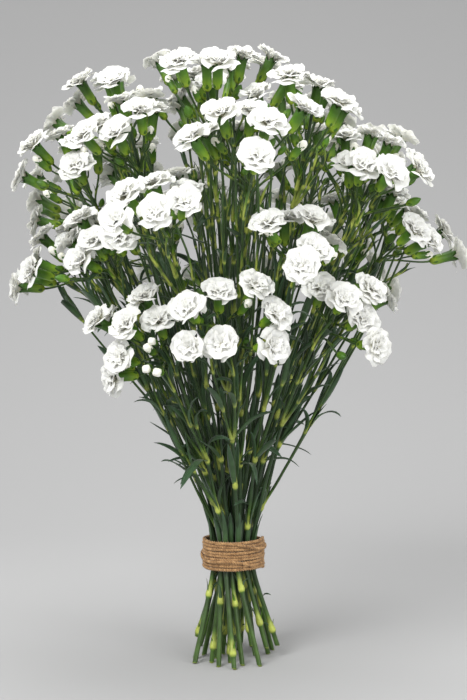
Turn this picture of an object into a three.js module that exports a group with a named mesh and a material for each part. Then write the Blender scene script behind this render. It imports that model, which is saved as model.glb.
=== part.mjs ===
// A hand-tied bunch of white spray carnations, standing on its cut stems.
// Millimetres, +Z up, the viewer's side is -Y. The origin is the middle of the centre stem's cut end.
//
// Every stem passes through the same round bundle and keeps its place in it at every height, so no two
// stems meet. Above the tie each stem turns into a spray: a straight crown from which the side stalks of
// its blooms and buds grow. The sprays are spread over a dome by the golden angle. Each bloom stands in
// the mouth of its calyx, a hair clear of it. The blooms of one spray reach over and under each other's
// rims, and hold together there petal to petal.

import * as THREE from 'three';

// ---------------------------------------------------------------- driving dimensions

const SPRAY_COUNT = 29;
const SEED = 20036;
const GOLDEN_ANGLE = Math.PI * (3 - Math.sqrt(5));
const UP = new THREE.Vector3(0, 0, 1);
const GAP = 0.3;

// The round bundle: the radius that the stems' middles keep to, and how it opens below and above the tie.
const TIE = { bottom: 94, middle: 111, top: 128, radius: 23.5 };
const FLARE = { below: [0.15, 0.0019], above: [0.235, 0.00095] };
const TWIST = { below: 0.36, above: -0.35, settles: 90 };

// The dome that the heads of the sprays lie on, squarer than an egg: flat on top and steep at its sides.
const DOME = { radius: 200, centre: 430, rise: 190, drop: 150, span: 1.08, square: 0.82 };
const FRONT_DIP = { drop: 110, inward: 0.6 };
const FORK_DROP = { low: 50, crown: 62 };
const HEAD_JITTER = 16;

const STEM = { foot: 3.4, tie: 2.9, fork: 2.1, sides: 4 };
const JOINT = { largest: 5.2, turn: -0.25 };
const KNUCKLE = { length: 9, swell: 1.25, spacing: 100, lowest: 142, stagger: 0.37 };
const SHORT_STEM = { every: 4, lift: [8, 22] };
const CROWN = { step: 9, levels: 5, widest: 0.75, taper: 0.1, face: 0.6 };

const PETALS = 5;
const BLOOM = { radius: 19, notch: 0.86, rim: 7, wave: 1.6, crest: 11, crestTop: 15, dimple: 10 };
const CLUSTER = { blooms: 7, overlap: 5, apart: 41, spread: 82, depth: 22, buds: 2, tries: 200 };
const POSE = { lift: [8, 13], tilt: 0.06, aim: 0.15, size: 0.05 };

// The web that joins a lower bloom's top petal to the underside of the bloom it reaches beneath: which
// corners of the two triangles meet, and how far out from the calyx the underside's triangle begins.
const WEB = { parentBelow: [0, 2, 1], parentAbove: [1, 0, 2], out: 0.55 };

const CALYX = { length: 22, mouth: 5.2, belly: 4.4, base: 1.4, shoulder: 5, cup: 1 };
const BUD = { length: 15, radius: 4.2, stalk: 1.2, belly: 0.4, drop: [2, 20], apart: 24, room: 6.2 };
const LEAF = { width: 8.5, keel: 1.5, length: [46, 70], reach: 0.85, rise: [0.3, 1], droop: [0.1, 0.7] };
const LEAF_OUTLINE = { base: 0.35, shoulder: 0.72, narrowing: 0.65 };
const LEAF_PLACE = { askew: 0.5, around: 1, room: 5, tries: 60 };
const BRANCH_SIDES = 3;

// The room that is kept between the middles of stalks and the heads on them: wanted, to other sprays, and
// within a spray.
const ROOM = { wanted: 12, heads: 2, headToStalk: 4, stalks: 5.5 };
const OWN_ROOM = { stalks: 3.5, stalkToCalyx: 7.5, calyxes: 11 };
const STEM_STRETCHES = 7;

const TWINE = { radius: 1.55, turns: 9, stepsPerTurn: 12, sides: 4 };

const WHITE = new THREE.MeshStandardMaterial({ color: 0xf4f3ec, roughness: 0.75, metalness: 0 });
const GREEN = new THREE.MeshStandardMaterial({ color: 0x4c7a33, roughness: 0.6, metalness: 0 });
const JUTE = new THREE.MeshStandardMaterial({ color: 0xa67c50, roughness: 0.95, metalness: 0 });

// ---------------------------------------------------------------- small tools

/** A seeded run of numbers, the same on every machine. */
class Draw {
  constructor(seed) {
    this.state = seed;
  }
  unit() {
    this.state = (this.state * 48271) % 2147483647;
    return this.state / 2147483647;
  }
  within(low, high) {
    return low + (high - low) * this.unit();
  }
}

const vec = (x, y, z) => new THREE.Vector3(x, y, z);
const mix = (a, b, share) => a + (b - a) * share;
const range = (count) => Array.from({ length: count }, (_, k) => k);

/** The point some way from another, along one or more directions. */
function away(point, ...steps) {
  return steps.reduce((sum, [direction, length]) => sum.addScaledVector(direction, length), point.clone());
}

/** Two directions square to axis and to each other: X and Y, turned as little as the axis is from Z. */
function across({ x, y, z }) {
  const share = 1 / (1 + z);
  return [vec(1 - x * x * share, -x * y * share, -x), vec(-x * y * share, 1 - y * y * share, -y)];
}

/** A ring of points round centre, square to axis. shape(k) gives each point's [radius, lift along axis]. */
function ring(centre, axis, count, spin, shape) {
  const [side, up] = across(axis);
  return range(count).map((k) => {
    const angle = spin + (2 * Math.PI * k) / count;
    const [radius, lift] = shape(k);
    return away(centre, [side, radius * Math.cos(angle)], [up, radius * Math.sin(angle)], [axis, lift]);
  });
}

/** The angle to turn a ring by, so that a branch from a triangle to that ring's centre isn't twisted. */
function spinToMatch(triangle, centre) {
  const middle = triangle.reduce((sum, point) => sum.add(point), vec(0, 0, 0)).divideScalar(triangle.length);
  const [side, up] = across(centre.clone().sub(middle).normalize());
  const sum = new THREE.Vector2();
  triangle.forEach((point, k) => {
    const arm = point.clone().sub(middle);
    const angle = Math.atan2(arm.dot(up), arm.dot(side)) - (2 * Math.PI * k) / triangle.length;
    sum.add(new THREE.Vector2(Math.cos(angle), Math.sin(angle)));
  });
  return sum.angle();
}

/** The triangles between two rings of point numbers. The upper may have one point, or half as many. */
function stitch(lower, upper) {
  const [m, n] = [lower.length, upper.length];
  if (m === 1) return upper.map((point, k) => [lower[0], upper[(k + 1) % n], point]);
  if (n === 1) return lower.map((point, k) => [point, lower[(k + 1) % m], upper[0]]);
  return upper.flatMap((point, k) => {
    const next = (k + 1) % n;
    if (m === n) return [[lower[k], lower[next], upper[next]], [lower[k], upper[next], point]];
    const [first, middle, last] = [lower[2 * k], lower[2 * k + 1], lower[2 * next]];
    return [[first, middle, point], [middle, upper[next], point], [middle, last, upper[next]]];
  });
}

/** A closed skin, built up from rings of points. Branches grow out of its triangles. */
class Skin {
  points = [];
  faces = [];

  addPoints(points) {
    const first = this.points.length;
    this.points.push(...points);
    return points.map((_, k) => first + k);
  }
  /** Stitches more rings on to one that is there. Gives the triangles of each stretch between two rings. */
  addRings(start, rings) {
    let lower = start;
    return rings.map((points) => {
      const upper = this.addPoints(points);
      const stretch = stitch(lower, upper);
      this.faces.push(...stretch);
      lower = upper;
      return stretch;
    });
  }
  /** Adds a shape from its first ring to its last. Gives the triangles of each stretch. */
  addShape(rings) {
    return this.addRings(this.addPoints(rings[0]), rings.slice(1));
  }
  remove(face) {
    this.faces.splice(this.faces.indexOf(face), 1);
  }
  /** Takes one triangle away and grows a branch from its edges. ringsFrom(corners) gives the rings. */
  grow(face, ringsFrom) {
    this.remove(face);
    this.addRings(face, ringsFrom(face.map((number) => this.points[number])));
  }
  /** Adds the four-cornered face a, b, c, d, folded along its shorter diagonal. */
  addQuad([a, b, c, d]) {
    const distance = (one, other) => this.points[one].distanceTo(this.points[other]);
    const isFoldedFromA = distance(a, c) < distance(b, d);
    this.faces.push(...(isFoldedFromA ? [[a, b, c], [a, c, d]] : [[a, b, d], [b, c, d]]));
  }
  /** Splits a triangle by a point between its first corner and the edge across. Gives the outer part. */
  outerPart(face) {
    this.remove(face);
    const [first, next, last] = face;
    const [inner, one, two] = face.map((number) => this.points[number]);
    const [middle] = this.addPoints([inner.clone().lerp(one.clone().lerp(two, 0.5), WEB.out)]);
    const part = [middle, next, last];
    this.faces.push([first, next, middle], [first, middle, last], part);
    return part;
  }
  /** Joins two facing triangles by a web. order gives the corner of other that each corner of face meets. */
  bridge(face, other, order) {
    this.remove(face);
    this.remove(other);
    const opposite = order.map((k) => other[k]);
    face.forEach((near, k) => {
      const next = (k + 1) % 3;
      this.addQuad([near, face[next], opposite[next], opposite[k]]);
    });
  }
  geometry() {
    const geometry = new THREE.BufferGeometry().setFromPoints(this.points);
    geometry.setIndex(this.faces.flat());
    return geometry;
  }
}

function named(name, geometry, material) {
  const mesh = new THREE.Mesh(geometry, material);
  mesh.name = name;
  return mesh;
}

// ---------------------------------------------------------------- the bundle of stems

/** The radius of the bundle at height z. */
function bundleRadius(z) {
  const below = Math.max(0, TIE.bottom - z);
  const above = Math.max(0, z - TIE.top);
  const opened = FLARE.below[0] * below + FLARE.below[1] * below ** 2;
  return TIE.radius + opened + FLARE.above[0] * above + FLARE.above[1] * above ** 2;
}

/** How far the bundle has turned about Z at height z. */
function bundleTwist(z) {
  const below = Math.max(0, TIE.bottom - z) / TIE.bottom;
  const above = Math.max(0, z - TIE.top) / TWIST.settles;
  return TWIST.below * below + TWIST.above * (1 - Math.exp(-above));
}

/** Where the middle of a stem is at height z. share is its place in the bundle, 0 inside and 1 outside. */
function stemPoint(stem, z) {
  const radius = stem.share * bundleRadius(z);
  const angle = stem.angle + bundleTwist(z);
  return vec(radius * Math.cos(angle), radius * Math.sin(angle), z);
}

/** The radius of each stem's joint in the tie, where the stems are pressed flat against one another. */
function jointRadii(stems) {
  const places = stems.map((stem) => stemPoint(stem, TIE.middle));
  const roomsOf = (place) => {
    const others = range(places.length).filter((n) => places[n] !== place);
    return others.map((n) => {
      const { x, y } = places[n].clone().sub(place).applyAxisAngle(UP, -JOINT.turn);
      return { n, span: Math.abs(x) + Math.abs(y) - GAP * Math.SQRT2 };
    });
  };
  const radii = places.map((place) => Math.min(...roomsOf(place).map(({ span }) => span / 2)));
  places.forEach((place, index) => {
    const left = roomsOf(place).map(({ n, span }) => span - radii[n]);
    radii[index] = Math.min(JOINT.largest, ...left);
  });
  return radii;
}

/** The plan of one spray: its stem, its fork, and the axis and reach of its head. */
function planSpray(index, draw) {
  const areaShare = index === 0 ? 0 : (index + 0.5) / (SPRAY_COUNT - 0.5);
  const polar = Math.acos(1 - DOME.span * areaShare);
  const jitter = index === 0 ? 0 : draw.within(-HEAD_JITTER, HEAD_JITTER);
  const lean = Math.cos(polar);
  const rise = Math.sign(lean) * Math.abs(lean) ** DOME.square;
  const front = Math.max(0, -Math.sin(index * GOLDEN_ANGLE + TWIST.above));
  const dip = FRONT_DIP.drop * areaShare ** 2 * front ** 2;
  const height = DOME.centre + (lean > 0 ? DOME.rise : DOME.drop) * rise + jitter - dip;
  const forkHeight = height - FORK_DROP.low - FORK_DROP.crown * (1 - areaShare);
  const isShort = index % SHORT_STEM.every === 2;
  const foot = isShort ? draw.within(...SHORT_STEM.lift) : 0;
  const stem = { share: Math.sqrt(areaShare), angle: index * GOLDEN_ANGLE, foot };
  const fork = stemPoint(stem, forkHeight);
  const angle = stem.angle + bundleTwist(forkHeight);
  const headRadius = (DOME.radius + jitter - FRONT_DIP.inward * dip) * Math.sin(polar) ** DOME.square;
  const head = vec(headRadius * Math.cos(angle), headRadius * Math.sin(angle), height);
  const axis = head.clone().sub(fork);
  const reach = axis.length();
  axis.normalize();
  return { index, stem, forkHeight, fork, axis, reach, blooms: [], buds: [], branches: [], leaves: [] };
}

// ---------------------------------------------------------------- placing blooms, buds and leaves

/** The direction from a spray's fork to the place x across and y up on its rounded head. */
function headDirection(spray, x, y) {
  const offset = Math.hypot(x, y);
  if (offset < 1e-6) return spray.axis.clone();
  const [side, up] = across(spray.axis);
  const turn = offset / spray.reach;
  const sideways = side.multiplyScalar(x / offset).addScaledVector(up, y / offset);
  return spray.axis.clone().multiplyScalar(Math.cos(turn)).addScaledVector(sideways, Math.sin(turn));
}

/** The least distance from a point to the line from a to b. */
function distanceToLine(point, a, b) {
  return new THREE.Line3(a, b).closestPointToPoint(point, true, vec(0, 0, 0)).distanceTo(point);
}

/** How much room a stalk from root to top, with a head of that radius, leaves to all other sprays. */
function roomAround(spray, root, top, headRadius, taken) {
  const others = taken.filter((other) => other.spray !== spray);
  return others.reduce((least, other) => {
    if (least < 0) return least;
    const isStalkClear = [0, 0.2, 0.4, 0.6, 0.8, 1].every((share) => {
      return distanceToLine(root.clone().lerp(top, share), other.root, other.top) > ROOM.stalks;
    });
    if (!isStalkClear) return -1;
    const betweenHeads = top.distanceTo(other.top) - headRadius - other.headRadius - ROOM.heads;
    const overStalk = distanceToLine(top, other.root, other.top) - headRadius - ROOM.headToStalk;
    const underHead = distanceToLine(other.top, root, top) - other.headRadius - ROOM.headToStalk;
    return Math.min(least, betweenHeads, overStalk, other.headRadius > 0 ? underHead : least);
  }, ROOM.wanted);
}

/** The places on a spray's crown where side stalks may root, each on one level and one side of it. */
function crownSlots({ fork, axis }) {
  const [side, up] = across(axis);
  return range(CROWN.levels * STEM.sides).map((n) => {
    const [level, quarter] = [Math.floor(n / STEM.sides), n % STEM.sides];
    const angle = ((quarter + 0.5) * 2 * Math.PI) / STEM.sides;
    const out = CROWN.face * STEM.fork;
    const height = (level + 0.5) * CROWN.step;
    const root = away(fork, [axis, height], [side, out * Math.cos(angle)], [up, out * Math.sin(angle)]);
    return { level, quarter, root };
  });
}

/** The free place on the crown for a stalk that leans towards (x, y): on that side, the wider the lower. */
function slotFor(spray, x, y) {
  const offset = Math.hypot(x, y);
  const turn = (Math.atan2(y, x) * STEM.sides) / (2 * Math.PI) - 0.5;
  const wished = (CROWN.levels - 0.5) * (1 - offset / CLUSTER.spread);
  const asideOf = ({ quarter }) => Math.abs(((quarter - turn + 6) % STEM.sides) - 2);
  const costOf = (slot) => 2 * asideOf(slot) + Math.abs(slot.level - wished);
  const free = crownSlots(spray).filter((slot) => {
    const sameSide = spray.branches.filter((other) => other.slot.quarter === slot.quarter);
    const isInOrder = sameSide.every(({ slot: { level }, offset: reach }) => {
      return Math.abs(level - slot.level) > 1 && level < slot.level === reach > offset;
    });
    return asideOf(slot) < CROWN.widest && isInOrder;
  });
  return free.sort((a, b) => costOf(a) - costOf(b))[0];
}

/** True if a stalk, with what stands on it, stays clear of another of the same spray. */
function staysClear(one, other) {
  return [0.3, 0.6, 0.95].every((share) => {
    const onStalk = one.root.clone().lerp(one.base, share);
    const onHead = one.base.clone().lerp(one.tip, share);
    if (distanceToLine(onStalk, other.root, other.base) < OWN_ROOM.stalks) return false;
    if (distanceToLine(onStalk, other.base, other.tip) < OWN_ROOM.stalkToCalyx) return false;
    return distanceToLine(onHead, other.base, other.tip) > OWN_ROOM.calyxes;
  });
}

/** Roots a branch on its spray's crown. Gives a list with it and its slot, empty if no place is clear. */
function rooted(spray, branch, taken) {
  const { x, y, top, headRadius } = branch;
  const slot = slotFor(spray, x, y);
  if (!slot) return [];
  const grown = { ...branch, slot, root: slot.root, offset: Math.hypot(x, y) };
  if (!staysClear(grown, { ...spray.blooms[0], root: spray.fork })) return [];
  if (!spray.branches.every((other) => staysClear(grown, other) && staysClear(other, grown))) return [];
  const room = roomAround(spray, slot.root, top, headRadius, taken);
  return room > 0 ? [{ ...grown, room }] : [];
}

/** A bloom x across and y up on the head of its spray, that far above its parent. */
function makeBloom(spray, parent, { x, y, lift, heading, petal, tilt, size }) {
  const height = (parent ? parent.height : 0) + lift;
  const direction = headDirection(spray, x, y);
  const [side, up] = across(direction);
  const facing = away(direction, [side, tilt[0]], [up, tilt[1]]).normalize();
  const centre = away(spray.fork, [direction, spray.reach + height]);
  const tip = away(centre, [facing, -BLOOM.rim * size]);
  const base = away(tip, [facing, -CALYX.length * size]);
  const head = { base, tip, top: centre, headRadius: BLOOM.radius };
  return { x, y, height, lift, heading, petal, facing, size, parent, ...head };
}

/** Grows one more bloom, with its rim over or under that of one the spray has, where it has most room. */
function growBloom(spray, draw, taken) {
  const candidates = range(CLUSTER.tries).flatMap(() => {
    const parent = spray.blooms[Math.floor(draw.unit() * spray.blooms.length)];
    const petal = Math.floor(PETALS * draw.unit());
    const aim = draw.within(-POSE.aim, POSE.aim);
    const heading = parent.heading + Math.PI + (2 * Math.PI * petal) / PETALS + aim;
    const lift = Math.sign(draw.within(-1, 1)) * draw.within(...POSE.lift);
    const tilt = [draw.within(-POSE.tilt, POSE.tilt), draw.within(-POSE.tilt, POSE.tilt)];
    const size = 1 + draw.within(-POSE.size, POSE.size);
    const spacing = BLOOM.radius * (parent.size + size) - CLUSTER.overlap;
    const x = parent.x + spacing * Math.cos(heading);
    const y = parent.y + spacing * Math.sin(heading);
    const siblings = spray.blooms.filter((other) => other !== parent);
    const crowded = siblings.some((other) => Math.hypot(other.x - x, other.y - y) < CLUSTER.apart);
    const isOff = Math.hypot(x, y) > CLUSTER.spread || Math.abs(parent.height + lift) > CLUSTER.depth;
    if (crowded || isOff) return [];
    return rooted(spray, makeBloom(spray, parent, { x, y, lift, heading, petal, tilt, size }), taken);
  });
  if (candidates.length === 0) return;
  const bloom = candidates.reduce((best, next) => (next.room > best.room ? next : best));
  spray.blooms.push(bloom);
  spray.branches.push(bloom);
  taken.push({ spray, root: bloom.root, top: bloom.top, headRadius: BLOOM.radius });
}

/** Grows the bloom that stands straight above the crown. */
function growMainBloom(spray, draw, taken) {
  const tilt = [draw.within(-POSE.tilt, POSE.tilt), draw.within(-POSE.tilt, POSE.tilt)];
  const place = { x: 0, y: 0, lift: 0, heading: Math.PI, petal: 0, tilt, size: 1 };
  const bloom = makeBloom(spray, undefined, place);
  spray.blooms.push(bloom);
  taken.push({ spray, root: spray.fork, top: bloom.top, headRadius: BLOOM.radius });
}

/** Puts a bud where a spray's head has room, a little under the blooms. */
function growBud(spray, draw, taken) {
  const candidates = range(CLUSTER.tries).flatMap(() => {
    const x = draw.within(-CLUSTER.spread, CLUSTER.spread);
    const y = draw.within(-CLUSTER.spread, CLUSTER.spread);
    const drop = draw.within(...BUD.drop);
    if (spray.blooms.some((bloom) => Math.hypot(bloom.x - x, bloom.y - y) < BUD.apart)) return [];
    const direction = headDirection(spray, x, y);
    const tip = away(spray.fork, [direction, spray.reach - drop]);
    const base = away(tip, [direction, -BUD.length]);
    return rooted(spray, { x, y, direction, base, tip, top: tip, headRadius: BUD.room }, taken);
  });
  if (candidates.length === 0) return;
  const [bud] = candidates;
  spray.buds.push(bud);
  spray.branches.push(bud);
  taken.push({ spray, root: bud.root, top: bud.tip, headRadius: BUD.room });
}

/** The point a share of the way along a leaf, which leaves the stem rising and then arches over. */
function leafPoint(leaf, share) {
  const sagging = leaf.length * (leaf.rise * share - leaf.droop * share ** 2);
  return away(leaf.root, [leaf.outward, LEAF.reach * leaf.length * share], [UP, sagging]);
}

/** A leaf at a knuckle, growing from the side of it that looks about the way of heading. */
function makeLeaf({ stem }, knuckle, heading, draw) {
  const quarterTurn = (2 * Math.PI) / STEM.sides;
  const quarter = Math.floor(heading / quarterTurn);
  const turned = (quarter + 0.5) * quarterTurn + draw.within(-LEAF_PLACE.askew, LEAF_PLACE.askew);
  return {
    knuckle,
    quarter: THREE.MathUtils.euclideanModulo(quarter, STEM.sides),
    root: stemPoint(stem, knuckle.height),
    outward: vec(Math.cos(turned), Math.sin(turned), 0),
    length: draw.within(...LEAF.length),
    rise: draw.within(...LEAF.rise),
    droop: draw.within(...LEAF.droop),
  };
}

/** True if a leaf keeps clear of all that has its place. */
function isLeafFree(leaf, spray, taken) {
  return [0.2, 0.4, 0.6, 0.8, 1].every((share) => {
    const point = leafPoint(leaf, share);
    return taken.every((other) => {
      if (other.spray === spray && other.headRadius === 0) return true;
      if (point.distanceTo(other.top) < other.headRadius + LEAF_PLACE.room) return false;
      return distanceToLine(point, other.root, other.top) > LEAF.width;
    });
  });
}

/** Hangs a leaf at each knuckle of a stem, on the outer side, where it has room. */
function placeLeaves(spray, draw, taken) {
  knucklesOf(spray).forEach((knuckle) => {
    const outside = spray.stem.angle + bundleTwist(knuckle.height);
    for (let tries = 0; tries < LEAF_PLACE.tries; tries++) {
      const heading = outside + draw.within(-LEAF_PLACE.around, LEAF_PLACE.around);
      const leaf = makeLeaf(spray, knuckle, heading, draw);
      if (!isLeafFree(leaf, spray, taken)) continue;
      spray.leaves.push(leaf);
      taken.push({ spray, root: leaf.root, top: leafPoint(leaf, 1), headRadius: LEAF.width / 2 });
      return;
    }
  });
}

/** A stem's swollen knuckles between the tie and its fork, at other heights than its neighbours'. */
function knucklesOf({ index, forkHeight }) {
  const room = forkHeight - KNUCKLE.lowest;
  const count = Math.max(1, Math.floor(room / KNUCKLE.spacing));
  const shift = 0.25 + 0.5 * ((index * KNUCKLE.stagger) % 1);
  return range(count).map((n) => ({ n, height: KNUCKLE.lowest + ((n + shift) * room) / count }));
}

/** The angle that turns one of a bloom's outer petals towards the bloom it grew beside. */
function spinTowards(bloom) {
  if (!bloom.parent) return 0;
  const [side, up] = across(bloom.facing);
  const towards = bloom.parent.top.clone().sub(bloom.top);
  return Math.atan2(towards.dot(up), towards.dot(side));
}

// ---------------------------------------------------------------- shapes

/** The rings of a bloom's calyx, from the top of its stalk to the shallow cup in its mouth. */
function calyxRings({ facing, base, tip }, sides, root) {
  const spin = root ? spinToMatch(root, base) : 0;
  const tube = (centre, radius) => ring(centre, facing, sides, spin, () => [radius, 0]);
  return [
    tube(base, CALYX.base),
    tube(away(base, [facing, CALYX.shoulder]), CALYX.belly),
    tube(tip, CALYX.mouth),
    [away(tip, [facing, -CALYX.cup])],
  ];
}

/** The rings of a closed bud, from the top of its stalk to its tip. */
function budRings({ direction, base, tip }, root) {
  const spin = spinToMatch(root, base);
  const tube = (centre, radius) => ring(centre, direction, BRANCH_SIDES, spin, () => [radius, 0]);
  return [tube(base, BUD.stalk), tube(away(base, [direction, BUD.belly * BUD.length]), BUD.radius), [tip]];
}

/** The rings of a narrow leaf with a keel along its underside. */
function leafRings(leaf) {
  const side = vec(-leaf.outward.y, leaf.outward.x, 0);
  const blade = (share, width) => {
    const middle = leafPoint(leaf, share);
    const ahead = leafPoint(leaf, share + 0.01).sub(middle).normalize();
    const under = vec(0, 0, 0).crossVectors(side, ahead);
    const corners = [[under, LEAF.keel], [side, width / 2], [side, -width / 2]];
    return corners.map((corner) => away(middle, corner));
  };
  const { base, shoulder, narrowing } = LEAF_OUTLINE;
  return [blade(base, LEAF.width), blade(shoulder, narrowing * LEAF.width), [leafPoint(leaf, 1)]];
}

/** The green of one spray: a stem from its cut end to the calyx of its topmost bloom, and its branches. */
function greenOf(spray, jointRadius) {
  const { stem, fork, forkHeight, axis, blooms, buds, leaves } = spray;
  const widthAt = (z) => {
    if (z < TIE.bottom) return mix(STEM.foot, STEM.tie, z / TIE.bottom);
    return mix(STEM.tie, STEM.fork, Math.max(0, z - TIE.top) / (forkHeight - TIE.top));
  };
  const level = (z, swell = 1) => ring(stemPoint(stem, z), UP, STEM.sides, 0, () => [swell * widthAt(z), 0]);
  const knuckles = knucklesOf(spray).flatMap(({ height }) => {
    return [-0.5, 0.5].map((share) => level(height + share * KNUCKLE.length, KNUCKLE.swell));
  });
  const joint = ring(stemPoint(stem, TIE.middle), UP, STEM.sides, JOINT.turn, () => [jointRadius, 0]);
  const crown = range(CROWN.levels + 1).map((n) => {
    const middle = away(fork, [axis, n * CROWN.step]);
    return ring(middle, axis, STEM.sides, 0, () => [STEM.fork - CROWN.taper * n, 0]);
  });
  const lower = [[stemPoint(stem, stem.foot)], level(stem.foot), level(TIE.bottom), joint, level(TIE.top)];
  const skin = new Skin();
  const stretches = skin.addShape([...lower, ...knuckles, ...crown, ...calyxRings(blooms[0], STEM.sides)]);

  const crownStretches = stretches.slice(lower.length + knuckles.length);
  const faceAt = ({ slot }) => crownStretches[slot.level][2 * slot.quarter];
  const [, ...sideBlooms] = blooms;
  sideBlooms.forEach((bloom) => skin.grow(faceAt(bloom), (root) => calyxRings(bloom, BRANCH_SIDES, root)));
  buds.forEach((bud) => skin.grow(faceAt(bud), (root) => budRings(bud, root)));
  leaves.forEach((leaf) => {
    const knuckle = stretches[lower.length + 2 * leaf.knuckle.n];
    skin.grow(knuckle[2 * leaf.quarter + 1], () => leafRings(leaf));
  });
  return skin.geometry();
}

/** The rings of a bloom: five waved outer petals, an inner tuft that stands up, and its sunken middle. */
function bloomRings(bloom) {
  const { facing, size, tip } = bloom;
  const spin = spinTowards(bloom);
  const petal = [BLOOM.radius * size, BLOOM.rim + BLOOM.wave];
  const notch = [BLOOM.notch * BLOOM.radius * size, BLOOM.rim - BLOOM.wave];
  return [
    [away(tip, [facing, GAP - CALYX.cup])],
    ring(tip, facing, 2 * PETALS, spin, (k) => (k % 2 ? notch : petal)),
    ring(tip, facing, PETALS, spin, () => [BLOOM.crest * size, BLOOM.crestTop * size]),
    [away(tip, [facing, BLOOM.dimple * size])],
  ];
}

/** The white of one spray: its blooms, each joined by half a petal to the bloom that it grew beside. */
function whiteOf({ blooms }) {
  const skin = new Skin();
  const stretchesOf = new Map(blooms.map((bloom) => [bloom, skin.addShape(bloomRings(bloom))]));
  blooms.slice(1).forEach((bloom) => {
    const [parentUnder, parentTop] = stretchesOf.get(bloom.parent);
    const [under, top] = stretchesOf.get(bloom);
    if (bloom.lift > 0) {
      skin.bridge(parentTop[3 * bloom.petal], skin.outerPart(under.at(-1)), WEB.parentBelow);
    } else {
      skin.bridge(top.at(-1), skin.outerPart(parentUnder[2 * bloom.petal]), WEB.parentAbove);
    }
  });
  return skin.geometry();
}

/** The twine: one strand wound side by side round the bundle. */
function twineShape(innerRadius) {
  const steps = TWINE.turns * TWINE.stepsPerTurn;
  const radius = (innerRadius + TWINE.radius) / Math.cos(Math.PI / TWINE.stepsPerTurn);
  const low = TIE.bottom + TWINE.radius;
  const high = TIE.top - TWINE.radius;
  const points = range(steps + 1).map((n) => {
    const angle = Math.PI / 2 + (2 * Math.PI * n) / TWINE.stepsPerTurn;
    return vec(radius * Math.cos(angle), radius * Math.sin(angle), mix(low, high, n / steps));
  });
  const rings = points.map((point) => {
    const outward = vec(point.x, point.y, 0).normalize();
    return range(TWINE.sides).map((k) => {
      const angle = (2 * Math.PI * k) / TWINE.sides;
      return away(point, [outward, -TWINE.radius * Math.cos(angle)], [UP, TWINE.radius * Math.sin(angle)]);
    });
  });
  const skin = new Skin();
  skin.addShape([[points[0]], ...rings, [points.at(-1)]]);
  return skin.geometry();
}

// ---------------------------------------------------------------- the bunch

const draw = new Draw(SEED);
const sprays = range(SPRAY_COUNT).map((index) => planSpray(index, draw));
const joints = jointRadii(sprays.map((spray) => spray.stem));
const taken = sprays.flatMap((spray) => {
  const heights = range(STEM_STRETCHES + 1).map((n) => mix(TIE.top, spray.forkHeight, n / STEM_STRETCHES));
  const places = heights.map((z) => stemPoint(spray.stem, z));
  return places.slice(1).map((top, n) => ({ spray, root: places[n], top, headRadius: 0 }));
});
sprays.forEach((spray) => growMainBloom(spray, draw, taken));
range(CLUSTER.blooms - 1).forEach(() => sprays.forEach((spray) => growBloom(spray, draw, taken)));
range(CLUSTER.buds).forEach(() => sprays.forEach((spray) => growBud(spray, draw, taken)));
sprays.forEach((spray) => placeLeaves(spray, draw, taken));

const bunch = new THREE.Group();
sprays.forEach((spray) => {
  const number = String(spray.index + 1).padStart(2, '0');
  bunch.add(named(`stem_${number}`, greenOf(spray, joints[spray.index]), GREEN));
  bunch.add(named(`blooms_${number}`, whiteOf(spray), WHITE));
});
const bundleReach = Math.max(...sprays.map(({ stem, index }) => stem.share * TIE.radius + joints[index]));
bunch.add(named('twine_wrap', twineShape(bundleReach + GAP), JUTE));

export default bunch;
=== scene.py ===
"""Dresses the bunch of white spray carnations: petals, calyxes, buds, stalks, leaves and jute twine.

Metres, +Z up, the viewer's side is -Y. Where each stem, stalk, bloom, bud and leaf is, is read from the
plain solids of the frame, and each class below grows its finer piece in the same place.
"""
import logging
import math
import random
from dataclasses import dataclass, field
from enum import Enum

import bmesh
import bpy
from mathutils import Matrix, Quaternion, Vector
from mathutils.geometry import interpolate_bezier


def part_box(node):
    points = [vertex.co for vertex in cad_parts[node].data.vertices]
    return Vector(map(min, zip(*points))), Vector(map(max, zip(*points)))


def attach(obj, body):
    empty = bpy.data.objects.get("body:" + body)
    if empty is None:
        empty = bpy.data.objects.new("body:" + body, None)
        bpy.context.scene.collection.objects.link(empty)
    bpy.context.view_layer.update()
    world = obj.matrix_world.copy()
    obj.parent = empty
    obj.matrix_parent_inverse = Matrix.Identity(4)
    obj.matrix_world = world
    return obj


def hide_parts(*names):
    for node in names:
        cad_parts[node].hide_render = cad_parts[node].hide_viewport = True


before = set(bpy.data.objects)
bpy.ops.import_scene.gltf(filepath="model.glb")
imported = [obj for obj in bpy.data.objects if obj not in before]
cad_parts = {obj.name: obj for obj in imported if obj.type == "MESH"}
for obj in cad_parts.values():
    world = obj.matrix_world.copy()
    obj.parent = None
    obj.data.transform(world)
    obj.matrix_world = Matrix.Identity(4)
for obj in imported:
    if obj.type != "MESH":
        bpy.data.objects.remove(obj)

MM = 0.001
GOLDEN_ANGLE = math.pi * (3 - math.sqrt(5))
FULL_TURN = 2 * math.pi
UP = Vector((0, 0, 1))
Colour = tuple[float, float, float]
Stop = tuple[float, Colour]
Span = tuple[float, float]
log = logging.getLogger("carnations")


# ---------------------------------------------------------------- small tools

def mix(low: float, high: float, share: float) -> float:
    """The value a share of the way from low to high."""
    return low + (high - low) * share


def bell(distance: float, width: float) -> float:
    """1 at no distance, falling softly to nothing a few widths away."""
    return math.exp(-((distance / width) ** 2))


def linear(value: float) -> float:
    """One channel of a colour, 0 to 1, without its display curve."""
    return value / 12.92 if value <= 0.04045 else ((value + 0.055) / 1.055) ** 2.4


def seen(red: int, green: int, blue: int) -> Colour:
    """A colour as the eye reads it, 0 to 255, turned into the linear values that a shader takes."""
    return (linear(red / 255), linear(green / 255), linear(blue / 255))


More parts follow.
